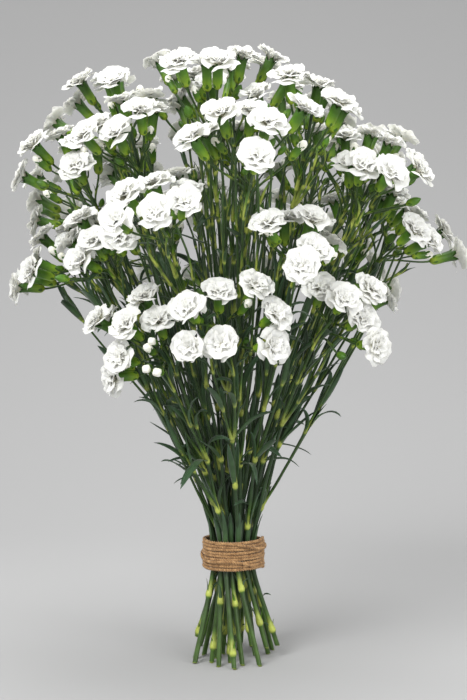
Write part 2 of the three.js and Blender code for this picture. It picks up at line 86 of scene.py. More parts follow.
def smooth_line(points: list[Vector], spacing: float) -> list[Vector]:
    """A smooth line through points.

    Args:
        points: The points that the line passes through, in order.
        spacing: About how far apart the points of the line are.

    Returns:
        The points of the line, from the first given point to the last.
    """
    last = len(points) - 1
    headings = [(points[min(k + 1, last)] - points[max(k - 1, 0)]).normalized() for k in range(last + 1)]
    line = [points[0]]
    for k in range(last):
        start, end = points[k], points[k + 1]
        pull = (end - start).length / 3
        steps = max(2, math.ceil((end - start).length / spacing))
        leave, arrive = start + headings[k] * pull, end - headings[k + 1] * pull
        line += interpolate_bezier(start, leave, arrive, end, steps + 1)[1:]
    return line


def tube_rings(line: list[Vector], radii: list[float], sides: int) -> list[list[Vector]]:
    """Round sections along a line that don't twist.

    Args:
        line: The middles of the sections.
        radii: The radius of each section.
        sides: How many points a section has.

    Returns:
        One list of points for each section, anticlockwise as seen from ahead.
    """
    last = len(line) - 1
    normal = (line[1] - line[0]).orthogonal().normalized()
    rings = []
    for k, (middle, radius) in enumerate(zip(line, radii)):
        ahead = (line[min(k + 1, last)] - line[max(k - 1, 0)]).normalized()
        normal = (normal - ahead * normal.dot(ahead)).normalized()
        other = ahead.cross(normal)
        angles = [FULL_TURN * n / sides for n in range(sides)]
        rings.append([middle + radius * (math.cos(a) * normal + math.sin(a) * other) for a in angles])
    return rings


# ---------------------------------------------------------------- meshes in the making

@dataclass
class Draft:
    """The points and faces of a piece while it is made, with the values that its finish reads.

    growth runs from 0 where a part of the plant begins to 1 at its tip, and across from -1 at one edge
    through 0 in the middle to 1 at the other edge.
    """
    points: list[Vector] = field(default_factory=list)
    faces: list[tuple[int, ...]] = field(default_factory=list)
    growth: list[float] = field(default_factory=list)
    across: list[float] = field(default_factory=list)
    finishes: list[int] = field(default_factory=list)
    creases: set[tuple[int, int]] = field(default_factory=set)

    def add_points(self, points: list[Vector], growth: float,
                   across: list[float] | None = None) -> list[int]:
        """Adds points that share one growth value.

        Args:
            points: Their places.
            growth: The value that they share.
            across: The across value of each, or nothing for 0.

        Returns:
            Their numbers.
        """
        first = len(self.points)
        self.points += points
        self.growth += [growth] * len(points)
        self.across += across or [0.0] * len(points)
        return list(range(first, first + len(points)))

    def add_faces(self, faces: list[tuple[int, ...]], finish: int = 0) -> None:
        """Adds faces that share one finish."""
        self.faces += faces
        self.finishes += [finish] * len(faces)

    def stitch(self, lower: list[int], upper: list[int], finish: int = 0) -> None:
        """Joins two rings by faces that look outwards.

        Args:
            lower: The numbers of the points of one ring, or of a single point.
            upper: Those of the next ring along, or of a single point.
            finish: The number of the faces' finish in the piece.
        """
        count = max(len(lower), len(upper))
        ends = [(k, (k + 1) % count) for k in range(count)]
        if len(lower) == 1:
            self.add_faces([(lower[0], upper[n], upper[k]) for k, n in ends], finish)
        elif len(upper) == 1:
            self.add_faces([(lower[k], lower[n], upper[0]) for k, n in ends], finish)
        else:
            self.add_faces([(lower[k], lower[n], upper[n], upper[k]) for k, n in ends], finish)

    def add_tube(self, rings: list[list[Vector]], growths: list[float], finish: int = 0,
                 across: list[float] | None = None) -> None:
        """Adds a closed tube.

        Args:
            rings: Its sections, each a list of points. The first and last are closed by a middle point.
            growths: The growth value of each section.
            finish: The number of its finish in the piece.
            across: The across value of each point of a section.
        """
        start = sum(rings[0], Vector()) / len(rings[0])
        end = sum(rings[-1], Vector()) / len(rings[-1])
        lower = self.add_points([start], growths[0])
        for ring, growth in zip(rings, growths):
            upper = self.add_points(ring, growth, across)
            self.stitch(lower, upper, finish)
            lower = upper
        self.stitch(lower, self.add_points([end], growths[-1]), finish)

    def mesh(self, name: str, *materials: bpy.types.Material) -> bpy.types.Mesh:
        """The draft as a mesh with its attributes, smooth but for its creases.

        Args:
            name: The mesh's name.
            materials: Its finishes, by number.

        Returns:
            The mesh.
        """
        mesh = bpy.data.meshes.new(name)
        mesh.from_pydata([tuple(point) for point in self.points], [], self.faces)
        mesh.shade_smooth()
        for material in materials:
            mesh.materials.append(material)
        mesh.polygons.foreach_set("material_index", self.finishes)
        mesh.attributes.new("growth", "FLOAT", "POINT").data.foreach_set("value", self.growth)
        mesh.attributes.new("across", "FLOAT", "POINT").data.foreach_set("value", self.across)
        if self.creases:
            sharp = [tuple(sorted(edge.vertices)) in self.creases for edge in mesh.edges]
            mesh.attributes.new("sharp_edge", "BOOLEAN", "EDGE").data.foreach_set("value", sharp)
        return mesh

    def template(self, name: str) -> bpy.types.Object:
        """The draft as a shape that Geometry Nodes set out."""
        return as_template(self.mesh(name))


TEMPLATES: list[bpy.types.Object] = []


def as_template(mesh: bpy.types.Mesh) -> bpy.types.Object:
    """Makes a mesh an object that Geometry Nodes set out, and that is taken away at the end.

    Args:
        mesh: The mesh, whose name the object takes.

    Returns:
        The object.
    """
    shape = bpy.data.objects.new(mesh.name, mesh)
    bpy.context.scene.collection.objects.link(shape)
    TEMPLATES.append(shape)
    return shape


@dataclass(frozen=True)
class Blade:
    """A thin pointed blade with a keel: a leaf, a bract or a scale, as a flat closed tube.

    fold is how steeply its halves rise from the keel, widest where along it it is widest, foot its width
    there as a share of the whole, tip how full its tip is, and fades how much thinner it is at the tip.
    """
    width: float
    thickness: float
    fold: float
    widest: float = 0.35
    foot: float = 0.35
    tip: float = 1.2
    fades: float = 0.6
    finest: float = 0.02

    def breadth(self, share: float) -> float:
        """The width of the blade.

        Args:
            share: Where along it, from 0 at the foot to 1 at the tip.

        Returns:
            The width there.
        """
        if share < self.widest:
            return self.width * mix(self.foot, 1, math.sin(share / self.widest * math.pi / 2))
        past = (share - self.widest) / (1 - self.widest)
        return self.width * max(self.finest, math.cos(past * math.pi / 2) ** (1 / self.tip))

    def grow(self, draft: Draft, line: list[Vector], side: Vector, finish: int = 0, curl: float = 0) -> None:
        """Adds the blade to a draft.

        Args:
            draft: The draft that the blade is added to.
            line: The middle line of the blade, from its foot to its tip.
            side: About which way is sideways.
            finish: The number of its finish in the piece.
            curl: How far the blade turns about its line towards the tip, in radians.
        """
        across = [1, 0.5, 0, -0.5, -1, -0.5, 0, 0.5]
        last = len(line) - 1
        rings = []
        for k, middle in enumerate(line):
            share = k / last
            ahead = (line[min(k + 1, last)] - line[max(k - 1, 0)]).normalized()
            level = Quaternion(ahead, curl * share) @ (side - ahead * side.dot(ahead)).normalized()
            above = ahead.cross(level)
            half = self.breadth(share) / 2
            top = [middle + level * (x * half) + above * (abs(x) * half * self.fold) for x in across[:5]]
            depth = self.thickness * (1 - self.fades * share)
            under = [
                middle + level * (x * half) + above * (abs(x) * half * self.fold - depth * (1 - abs(x) / 2))
                for x in across[5:]
            ]
            rings.append(top + under)
        draft.add_tube(rings, [k / last for k in range(last + 1)], finish, across)


# ---------------------------------------------------------------- node trees

class Board:
    """A node tree while it is wired: adds nodes by type and joins their sockets by name or number."""

    def __init__(self, tree: bpy.types.NodeTree) -> None:
        """Starts on an empty tree."""
        self.tree = tree
        tree.nodes.clear()

    @staticmethod
    def socket(sockets: bpy.types.bpy_prop_collection, key: str | int) -> bpy.types.NodeSocket:
        """One of a node's sockets.

        Args:
            sockets: The sockets of the node.
            key: The number of the one wanted, or its name.

        Returns:
            The socket of that number, or the first one in use of that name.
        """
        if isinstance(key, int):
            return sockets[key]
        return next(socket for socket in sockets if socket.enabled and socket.name == key)

    def add(self, kind: str, inputs: dict | None = None, **settings: object) -> bpy.types.Node:
        """Adds a node.

        Args:
            kind: The node's type.
            inputs: What goes into its sockets: a value, or an output socket of another node.
            settings: Its other properties.

        Returns:
            The new node.
        """
        node = self.tree.nodes.new(kind)
        for name, value in settings.items():
            setattr(node, name, value)
        for key, value in (inputs or {}).items():
            target = self.socket(node.inputs, key)
            if isinstance(value, bpy.types.NodeSocket):
                self.tree.links.new(value, target)
            else:
                target.default_value = value
        return node

    def math(self, operation: str, *values: object) -> bpy.types.NodeSocket:
        """The result of one sum on numbers or sockets."""
        return self.add("ShaderNodeMath", dict(enumerate(values)), operation=operation).outputs[0]


class GrowthTree(Board):
    """A Geometry Nodes tree with named inputs."""

    def __init__(self, name: str) -> None:
        """Starts a tree that takes and gives a geometry.

        Args:
            name: The tree's name.
        """
        super().__init__(bpy.data.node_groups.new(name, "GeometryNodeTree"))
        self.sockets = {}
        self.declare("Geometry", "NodeSocketGeometry")
        self.tree.interface.new_socket(name="Geometry", in_out="OUTPUT", socket_type="NodeSocketGeometry")
        self.source = None

    def declare(self, name: str, socket_type: str) -> None:
        """Adds a named input."""
        item = self.tree.interface.new_socket(name=name, in_out="INPUT", socket_type=socket_type)
        self.sockets[name] = item.identifier

    def given(self, name: str) -> bpy.types.NodeSocket:
        """A named input, inside the tree.

        Args:
            name: The input's name.

        Returns:
            The socket that gives its value.
        """
        if self.source is None:
            self.source = self.add("NodeGroupInput")
        return self.socket(self.source.outputs, name)

    def named(self, name: str, kind: str) -> bpy.types.NodeSocket:
        """An attribute of the geometry, inside the tree.

        Args:
            name: The attribute's name.
            kind: Its data type.

        Returns:
            The socket that gives its value.
        """
        node = self.add("GeometryNodeInputNamedAttribute", data_type=kind)
        self.socket(node.inputs, "Name").default_value = name
        return self.socket(node.outputs, "Attribute")

    def draw(self, low: float, high: float, run: int) -> bpy.types.NodeSocket:
        """A seeded random number for each point.

        Args:
            low: The least that it can be.
            high: The most that it can be.
            run: Tells one draw from another.

        Returns:
            The socket that gives it.
        """
        seed = self.math("ADD", self.given("Seed"), run)
        inputs = {"Min": low, "Max": high, "Seed": seed}
        drawn = self.add("FunctionNodeRandomValue", inputs, data_type="FLOAT")
        return self.socket(drawn.outputs, "Value")

    def store(self, geometry: bpy.types.NodeSocket, name: str, value: object,
              domain: str) -> bpy.types.NodeSocket:
        """Keeps a value with the geometry, for its finish to read.

        Args:
            geometry: The geometry.
            name: The name of the attribute that keeps the value.
            value: The socket that gives it.
            domain: What each value belongs to, such as a point or an instance.

        Returns:
            The geometry with the attribute.
        """
        node = self.add("GeometryNodeStoreNamedAttribute", data_type="FLOAT", domain=domain)
        self.tree.links.new(geometry, self.socket(node.inputs, "Geometry"))
        self.socket(node.inputs, "Name").default_value = name
        self.tree.links.new(value, self.socket(node.inputs, "Value"))
        return node.outputs["Geometry"]

    def choose(self, points: bpy.types.NodeSocket, kind: bpy.types.NodeSocket, shapes: list[str],
               rotation: bpy.types.NodeSocket, scale: bpy.types.NodeSocket) -> bpy.types.NodeSocket:
        """Sets out one of several shapes on each point.

        Args:
            points: The points.
            kind: The number of the shape on each point.
            shapes: The names of the inputs that hold the shapes, by number.
            rotation: How each is turned.
            scale: How large each is.

        Returns:
            The instances.
        """
        joined = self.add("GeometryNodeJoinGeometry")
        for number, shape in enumerate(shapes):
            pair = {"A": kind, "B": number}
            chosen = self.add("FunctionNodeCompare", pair, data_type="INT", operation="EQUAL")
            body = self.add("GeometryNodeObjectInfo", {"Object": self.given(shape), "As Instance": True})
            placed = self.add("GeometryNodeInstanceOnPoints", {
                "Points": points, "Selection": chosen.outputs[0], "Instance": body.outputs["Geometry"],
                "Rotation": rotation, "Scale": scale,
            })
            self.tree.links.new(placed.outputs[0], joined.inputs[0])
        return joined.outputs[0]

    def finish(self, instances: bpy.types.NodeSocket) -> None:
        """Ends the tree: makes the instances real and gives them their finish.

        Args:
            instances: What the tree has set out.
        """
        real = self.add("GeometryNodeRealizeInstances", {"Geometry": instances}).outputs[0]
        dressed = self.add("GeometryNodeSetMaterial", {"Geometry": real, "Material": self.given("Finish")})
        self.add("NodeGroupOutput", {"Geometry": dressed.outputs[0]})

    def grow(self, name: str, start: bpy.types.Mesh, **values: object) -> bpy.types.Mesh:
        """Runs the tree.

        Args:
            name: The name of the mesh it makes.
            start: The mesh it starts from.
            values: The value of each named input, with _ for each space.

        Returns:
            The result as a plain mesh.
        """
        carrier = bpy.data.objects.new(name, start)
        bpy.context.scene.collection.objects.link(carrier)
        modifier = carrier.modifiers.new("growth", "NODES")
        modifier.node_group = self.tree
        for key, value in values.items():
            modifier[self.sockets[key.replace("_", " ")]] = value
        evaluated = carrier.evaluated_get(bpy.context.evaluated_depsgraph_get())
        mesh = bpy.data.meshes.new_from_object(evaluated)
        mesh.name = name
        bpy.data.objects.remove(carrier)
        return mesh


class RosetteTree(GrowthTree):
    """Petals round one point by the golden angle: spread outside, and steep and small within."""

    SHAPES = ["Guard petal", "Second guard petal", "Middle petal", "Second middle petal", "Core petal"]
    ANGLE_PLAY = 0.25
    TWIST_PLAY = 1.6
    SIZE_PLAY = 0.07
    TILT_POWER = 0.85

    def __init__(self) -> None:
        """Wires the tree."""
        super().__init__("rosette")
        for name in self.SHAPES:
            self.declare(name, "NodeSocketObject")
        self.declare("Petals", "NodeSocketInt")
        self.declare("Seed", "NodeSocketInt")
        for name in ("Outer tilt", "Inner tilt", "Inner size", "Unevenness"):
            self.declare(name, "NodeSocketFloat")
        self.declare("Finish", "NodeSocketMaterial")
        line = self.add("GeometryNodeMeshLine", {"Count": self.given("Petals"), "Offset": (0, 0, 0)})
        number = self.add("GeometryNodeInputIndex").outputs[0]
        share = self.math("DIVIDE", number, self.math("SUBTRACT", self.given("Petals"), 1))
        uneven = self.given("Unevenness")
        play = self.draw(-self.ANGLE_PLAY, self.ANGLE_PLAY, 0)
        angle = self.math("ADD", self.math("MULTIPLY", number, GOLDEN_ANGLE), play)
        span = self.math("SUBTRACT", self.given("Inner tilt"), self.given("Outer tilt"))
        inward = self.math("POWER", share, self.TILT_POWER)
        even_tilt = self.math("MULTIPLY_ADD", inward, span, self.given("Outer tilt"))
        tilt = self.math("ADD", even_tilt, self.math("MULTIPLY", self.draw(-1, 1, 1), uneven))
        twist = self.math("MULTIPLY", self.draw(-self.TWIST_PLAY, self.TWIST_PLAY, 2), uneven)
        lowered = self.math("MULTIPLY", tilt, -1)
        turn = self.add("ShaderNodeCombineXYZ", {"X": twist, "Y": lowered, "Z": angle})
        shrink = self.math("SUBTRACT", self.given("Inner size"), 1)
        size_play = self.draw(1 - self.SIZE_PLAY, 1 + self.SIZE_PLAY, 3)
        size = self.math("MULTIPLY", self.math("MULTIPLY_ADD", share, shrink, 1), size_play)
        kind = self.math("FLOOR", self.math("MULTIPLY", share, len(self.SHAPES) - 0.01))
        rotation = self.add("FunctionNodeEulerToRotation", {0: turn.outputs[0]}).outputs[0]
        petals = self.choose(line.outputs["Mesh"], kind, self.SHAPES, rotation, size)
        self.finish(self.store(petals, "tint", self.draw(-1, 1, 4), "INSTANCE"))


class SettingTree(GrowthTree):
    """Small shapes set out on places, each facing its own way."""

    def __init__(self, name: str, shapes: list[str]) -> None:
        """Wires the tree.

        Args:
            name: The tree's name.
            shapes: The names of the inputs that hold the shapes.
        """
        super().__init__(name)
        for shape in shapes:
            self.declare(shape, "NodeSocketObject")
        self.declare("Seed", "NodeSocketInt")
        self.declare("Finish", "NodeSocketMaterial")
        ahead = self.named("facing", "FLOAT_VECTOR")
        facing = self.add("FunctionNodeAlignRotationToVector", {"Vector": ahead}, axis="Z")
        about = self.add("ShaderNodeCombineXYZ", {"Z": self.named("spin", "FLOAT")})
        spin = self.add("FunctionNodeEulerToRotation", {0: about.outputs[0]})
        rotation = self.add("FunctionNodeRotateRotation", {0: facing.outputs[0], 1: spin.outputs[0]},
                            rotation_space="LOCAL").outputs[0]
        size = self.named("size", "FLOAT")
        set_out = self.choose(self.given("Geometry"), self.named("kind", "INT"), shapes, rotation, size)
        self.finish(self.store(set_out, "lot", self.draw(-1, 1, 0), "INSTANCE"))


@dataclass
class Places:
    """The places of small shapes: where, which way, how large and of which kind each one is."""
    at: list[Vector] = field(default_factory=list)
    facing: list[float] = field(default_factory=list)
    spin: list[float] = field(default_factory=list)
    size: list[float] = field(default_factory=list)
    kind: list[int] = field(default_factory=list)

    def add(self, at: Vector, facing: Vector, spin: float, size: float, kind: int) -> None:
        """Adds one place.

        Args:
            at: Where it is.
            facing: Which way the shape's own +Z points.
            spin: How far the shape is turned about that, in radians.
            size: How many times its own size it is.
            kind: The number of the shape.
        """
        self.at.append(at)
        self.facing += list(facing)
        self.spin.append(spin)
        self.size.append(size)
        self.kind.append(kind)

    def mesh(self, name: str) -> bpy.types.Mesh:
        """The places as loose points with attributes.

        Args:
            name: The mesh's name.

        Returns:
            The mesh.
        """
        mesh = bpy.data.meshes.new(name)
        mesh.from_pydata([tuple(point) for point in self.at], [], [])
        mesh.attributes.new("facing", "FLOAT_VECTOR", "POINT").data.foreach_set("vector", self.facing)
        mesh.attributes.new("spin", "FLOAT", "POINT").data.foreach_set("value", self.spin)
        mesh.attributes.new("size", "FLOAT", "POINT").data.foreach_set("value", self.size)
        mesh.attributes.new("kind", "INT", "POINT").data.foreach_set("value", self.kind)
        return mesh


# ---------------------------------------------------------------- finishes

class FinishBoard(Board):
    """The node tree of a new material while it is wired."""

    def __init__(self, name: str) -> None:
        """Starts a material of that name.

        Args:
            name: The material's name.
        """
        self.material = bpy.data.materials.new(name)
        self.material.use_nodes = True
        super().__init__(self.material.node_tree)

    def attribute(self, name: str) -> bpy.types.NodeSocket:
        """The value of an attribute of the piece."""
        return self.add("ShaderNodeAttribute", attribute_name=name).outputs["Fac"]

    def place(self) -> bpy.types.NodeSocket:
        """The place of each spot in the piece."""
        return self.add("ShaderNodeTexCoord").outputs["Object"]

    def noise(self, place: bpy.types.NodeSocket, scale: float, detail: float) -> bpy.types.NodeSocket:
        """A soft random pattern, 0 to 1."""
        texture = self.add("ShaderNodeTexNoise", {"Vector": place, "Scale": scale, "Detail": detail})
        return texture.outputs["Fac"]

    def ramp(self, value: bpy.types.NodeSocket, stops: tuple[Stop, ...]) -> bpy.types.NodeSocket:
        """Colours a value.

        Args:
            value: The value, 0 to 1.
            stops: Values with their colours, in order. Colours blend between them.

        Returns:
            The socket that gives the colour.
        """
        node = self.add("ShaderNodeValToRGB", {"Fac": value})
        elements = node.color_ramp.elements
        while len(elements) < len(stops):
            elements.new(0.5)
        for element, (position, colour) in zip(elements, stops):
            element.position = position
            element.color = (*colour, 1)
        return node.outputs["Color"]

    def finish(self, inputs: dict) -> bpy.types.Material:
        """Ends the tree with its shader.

        Args:
            inputs: What goes into the shader's sockets.

        Returns:
            The material.
        """
        shader = self.add("ShaderNodeBsdfPrincipled", inputs)
        self.add("ShaderNodeOutputMaterial", {"Surface": shader.outputs[0]})
        return self.material


@dataclass(frozen=True)
class Tissue:
    """The finish of one kind of plant tissue.

    stops are the colours from growth 0 to 1. mottle is how strongly patches lighten and darken it, patch
    their size, lots how much one petal or calyx differs from the next, and veins how deep the fine lines
    are. rise and depth are the strength and height of its relief.
    """
    name: str
    stops: tuple[Stop, ...]
    mottle: float
    patch: float
    lots: float
    veins: float
    vein_count: float
    roughness: float
    glow: float = 0.0
    glow_reach: float = 2 * MM
    glow_tint: Colour = (1.0, 0.96, 0.8)
    sheen: float = 0.0
    gloss: float = 0.35
    rise: float = 0.35
    depth: float = 0.25 * MM

    def material(self) -> bpy.types.Material:
        """Builds the finish.

        Returns:
            The material.
        """
        board = FinishBoard(self.name)
        growth = board.attribute("growth")
        own_lot = board.math("ADD", board.attribute("tint"), board.attribute("lot"))
        patches = board.noise(board.place(), 1 / self.patch, 3.0)
        vein = board.math("MULTIPLY", board.attribute("across"), self.vein_count)
        fine = board.add("ShaderNodeCombineXYZ", {"X": vein, "Y": growth, "Z": own_lot})
        lines = board.noise(fine.outputs[0], 1.0, 2.0)
        patchiness = board.math("MULTIPLY", board.math("SUBTRACT", patches, 0.5), 2 * self.mottle)
        difference = board.math("MULTIPLY", own_lot, self.lots)
        streaks = board.math("MULTIPLY", board.math("SUBTRACT", lines, 0.5), self.veins)
        light = board.math("ADD", board.math("ADD", board.math("ADD", 1, patchiness), difference), streaks)
        plain = board.ramp(growth, self.stops)
        colour = board.add("ShaderNodeVectorMath", {0: plain, "Scale": light}, operation="SCALE")
        relief = board.math("ADD", patches, board.math("MULTIPLY", lines, 2))
        bump = board.add("ShaderNodeBump", {"Height": relief, "Strength": self.rise, "Distance": self.depth})
        return board.finish({
            "Base Color": colour.outputs["Vector"], "Normal": bump.outputs["Normal"],
            "Roughness": self.roughness, "Specular IOR Level": self.gloss, "Sheen Weight": self.sheen,
            "Subsurface Weight": self.glow, "Subsurface Scale": self.glow_reach,
            "Subsurface Radius": self.glow_tint,
        })


@dataclass(frozen=True)
class Jute:
    """The finish of the twine: dry brown fibre, whose dark streaks are partly its own tone and partly
    painted shade for the hollows between its twisted strands.
    """
    name: str = "jute"
    # The dark stop is partly the fibre's own brown and partly painted shade for the hollows between the
    # strands.
    stops: tuple[Stop, ...] = ((0.36, seen(104, 70, 40)), (0.62, seen(196, 156, 108)))
    fibres_along: float = 260.0
    fibres_around: float = 9.0
    patches: float = 140.0
    patch_share: float = 0.3
    roughness: float = 0.92
    sheen: float = 0.25
    gloss: float = 0.2
    rise: float = 0.6
    depth: float = 0.3 * MM

    def material(self) -> bpy.types.Material:
        """Builds the finish.

        Returns:
            The material.
        """
        board = FinishBoard(self.name)
        along = board.math("MULTIPLY", board.attribute("along"), self.fibres_along)
        around = board.math("MULTIPLY", board.attribute("around"), self.fibres_around)
        fine = board.add("ShaderNodeCombineXYZ", {"X": around, "Y": along})
        fibres = board.noise(fine.outputs[0], 1.0, 5.0)
        patches = board.math("MULTIPLY", board.noise(board.place(), self.patches, 2.0), self.patch_share)
        blend = board.math("ADD", board.math("MULTIPLY", fibres, 1 - self.patch_share), patches)
        bump = board.add("ShaderNodeBump", {"Height": fibres, "Strength": self.rise, "Distance": self.depth})
        return board.finish({
            "Base Color": board.ramp(blend, self.stops), "Roughness": self.roughness,
            "Normal": bump.outputs["Normal"], "Sheen Weight": self.sheen, "Specular IOR Level": self.gloss,
        })


@dataclass(frozen=True)
class Paper:
    """The finish of the floor and backdrop."""
    name: str = "backdrop_paper"
    grey: Colour = seen(173, 173, 173)

    def material(self) -> bpy.types.Material:
        """Builds the finish."""
        return FinishBoard(self.name).finish({
            "Base Color": (*self.grey, 1), "Roughness": 0.95, "Specular IOR Level": 0.1})


# The cream at the petals' foot is their own colour. Drawing them brighter near the foot than at the rim is
# painted light that lifts the shade in the middle of each bloom.
PETAL_WHITE = Tissue(
    "petal_white", ((0.0, seen(238, 234, 190)), (0.3, seen(244, 241, 222)), (0.62, seen(238, 238, 232))),
    mottle=0.02, patch=6 * MM, lots=0.015, veins=0.04, vein_count=9, roughness=0.75, glow=0.4,
    glow_reach=2.5 * MM, sheen=0.1)
STEM_GREEN = Tissue(
    "stem_green", ((0.0, seen(36, 58, 28)), (0.35, seen(68, 98, 30)), (1.0, seen(168, 178, 80))),
    mottle=0.8, patch=9 * MM, lots=0.1, veins=0.15, vein_count=4, roughness=0.38, sheen=0.1)
LEAF_GREEN = Tissue(
    "leaf_green", ((0.0, seen(132, 156, 62)), (0.14, seen(56, 84, 44)), (1.0, seen(44, 70, 46))),
    mottle=0.6, patch=9 * MM, lots=0.1, veins=0.4, vein_count=5, roughness=0.42, sheen=0.15)
SEPAL_GREEN = Tissue(
    "sepal_green", ((0.0, seen(152, 172, 56)), (0.26, seen(114, 146, 36)), (0.55, seen(72, 110, 28)),
                    (1.0, seen(48, 84, 24))),
    mottle=0.35, patch=6 * MM, lots=0.2, veins=0.2, vein_count=6, roughness=0.45)


# ---------------------------------------------------------------- what the frame says

Ring = list[bmesh.types.BMVert]
TIE_RING = 2


@dataclass(frozen=True)
class Head:
    """A bloom or bud: where its stalk roots and ends, where it sits, which way it faces and its size."""
    root: Vector
    base: Vector
    tip: Vector
    facing: Vector
    size: float


@dataclass(frozen=True)
class LeafPlan:
    """The middle line of a leaf and its sideways direction."""
    line: list[Vector]
    side: Vector


@dataclass
class SprayPlan:
    """The places of one spray, as its plain solid in the frame has them.

    middles are those of the main stem's lowest rings: two below the tie, one in it and one above it.
    knuckles are its joints over these, and crown the line of its top.
    """
    number: str
    middles: list[Vector] = field(default_factory=list)
    tie_radius: float = 0.0
    knuckles: list[Vector] = field(default_factory=list)
    crown: list[Vector] = field(default_factory=list)
    blooms: list[Head] = field(default_factory=list)
    buds: list[Head] = field(default_factory=list)
    leaves: list[LeafPlan] = field(default_factory=list)

    @property
    def at_tie(self) -> Vector:
        """The stem's middle in the tie."""
        return self.middles[TIE_RING]

    @property
    def above_tie(self) -> Vector:
        """The stem's middle at the ring above the tie."""
        return self.middles[TIE_RING + 1]


@dataclass(frozen=True)
class Surveyor:
    """Reads a spray's places from its solid, which is rings of points that end in single points.

    A main stem has rings of four. A bloom's stalk, a bud's and a leaf are rings of three that end in the
    only points with three edges: a calyx in the shallow cup of its mouth, a bud and a leaf in their tip.
    """
    calyx_length: float = 22 * MM
    cup_depth: float = 2 * MM
    bud_width: float = 6.4 * MM
    bud_rings: int = 2
    calyx_rings: int = 3
    lower_rings: int = 4
    crown_rings: int = 6
    leaf_shares: tuple[float, float, float] = (0.35, 0.72, 1.0)
    leaf_points: int = 14
    merging: float = 0.001 * MM
    level: float = 0.01 * MM

    @staticmethod
    def next_ring(ring: Ring, known: set[bmesh.types.BMVert]) -> Ring:
        """Steps one edge on from a ring.

        Args:
            ring: The points of the ring.
            known: The points passed so far, to which the next ones are added.

        Returns:
            The points one edge on that weren't known yet.
        """
        found = []
        for vert in ring:
            for edge in vert.link_edges:
                other = edge.other_vert(vert)
                if other not in known:
                    known.add(other)
                    found.append(other)
        return found

    @staticmethod
    def middle(ring: Ring) -> Vector:
        """The middle of a ring."""
        return sum((vert.co for vert in ring), Vector()) / len(ring)

    def head(self, rings: list[Ring], root: Vector) -> Head:
        """A bloom's place, from its mouth, belly and base rings."""
        tip, belly, base = (self.middle(ring) for ring in rings)
        return Head(root, base, tip, (tip - belly).normalized(), (tip - base).length / self.calyx_length)

    def leaf(self, pole: bmesh.types.BMVert, rings: list[Ring]) -> LeafPlan:
        """Reads a leaf, whose middle line is the one parabola through its two ribs and its tip.

        Args:
            pole: Its tip.
            rings: Its ribs, the outer one first.

        Returns:
            The leaf's middle line and its sideways direction.
        """
        places = []
        for ring in (rings[1], rings[0]):
            pairs = [(one.co, other.co) for one in ring for other in ring if one is not other]
            one, other = max(pairs, key=lambda pair: (pair[0] - pair[1]).length)
            places.append((one + other) / 2)
            side = (other - one).normalized()
        places.append(pole.co.copy())
        near, far, end = self.leaf_shares
        line = []
        for step in range(self.leaf_points):
            share = step / (self.leaf_points - 1)
            weights = [
                (share - far) * (share - end) / ((near - far) * (near - end)),
                (share - near) * (share - end) / ((far - near) * (far - end)),
                (share - near) * (share - far) / ((end - near) * (end - far)),
            ]
            line.append(sum((place * weight for place, weight in zip(places, weights)), Vector()))
        outward = line[-1] - line[0]
        return LeafPlan(line, side if outward.cross(side).z > 0 else -side)

    def survey(self, number: str) -> SprayPlan:
        """Reads one spray.

        Args:
            number: The number that ends the name of its node.

        Returns:
            The places of its stem, blooms, buds and leaves.
        """
        solid = bmesh.new()
        solid.from_mesh(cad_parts[f"stem_{number}"].data)
        bmesh.ops.remove_doubles(solid, verts=solid.verts, dist=self.merging)
        plan = SprayPlan(number)
        branch_points = set()
        for pole in sorted((v for v in solid.verts if len(v.link_edges) == 3), key=lambda v: tuple(v.co)):
            branch_points |= self.branch(plan, pole)
        self.main_stem(plan, [v for v in solid.verts if v not in branch_points], branch_points)
        solid.free()
        return plan

    def branch(self, plan: SprayPlan, pole: bmesh.types.BMVert) -> set[bmesh.types.BMVert]:
        """Reads the bloom, bud or leaf that ends in a point.

        Args:
            plan: The plan of the spray, to which it is added.
            pole: The point.

        Returns:
            The points of its solid, but for those that it shares with the main stem.
        """
        known = {pole}
        rings = [self.next_ring([pole], known)]
        is_calyx = (self.middle(rings[0]) - pole.co).length < self.cup_depth
        for _ in range(self.calyx_rings if is_calyx else self.bud_rings):
            rings.append(self.next_ring(rings[-1], known))
        root = rings.pop()
        spread = max((one.co - other.co).length for one in rings[0] for other in rings[0])
        if is_calyx:
            plan.blooms.append(self.head(rings, self.middle(root)))
        elif spread > self.bud_width:
            base = self.middle(rings[1])
            tip = pole.co.copy()
            plan.buds.append(Head(self.middle(root), base, tip, (tip - base).normalized(), 1.0))
        else:
            plan.leaves.append(self.leaf(pole, rings))
        return known - set(root)

    def main_stem(self, plan: SprayPlan, main: Ring, branch_points: set[bmesh.types.BMVert]) -> None:
        """Reads the main stem and the bloom on top of it, ring by ring from its foot.

        Args:
            plan: The plan of the spray, to which they are added.
            main: The points of the solid that no branch has.
            branch_points: The points of the branches.
        """
        lowest = min(v.co.z for v in main)
        foot = [v for v in main if v.co.z < lowest + self.level]
        pole = min(foot, key=lambda v: (v.co - self.middle(foot)).length)
        known = branch_points | {pole}
        rings = [self.next_ring([pole], known)]
        while len(rings[-1]) > 1:
            rings.append(self.next_ring(rings[-1], known))
        rings.pop()
        calyx = rings[:-self.calyx_rings - 1:-1]
        below = rings[:-self.calyx_rings]
        middles = [self.middle(ring) for ring in below]
        paired = middles[self.lower_rings:-self.crown_rings]
        plan.middles = middles[:self.lower_rings]
        plan.knuckles = [(one + other) / 2 for one, other in zip(paired[::2], paired[1::2])]
        plan.crown = middles[-self.crown_rings:]
        plan.tie_radius = max((v.co - plan.at_tie).length for v in below[TIE_RING])
        plan.blooms.insert(0, self.head(calyx, plan.crown[-1]))


# ---------------------------------------------------------------- petals

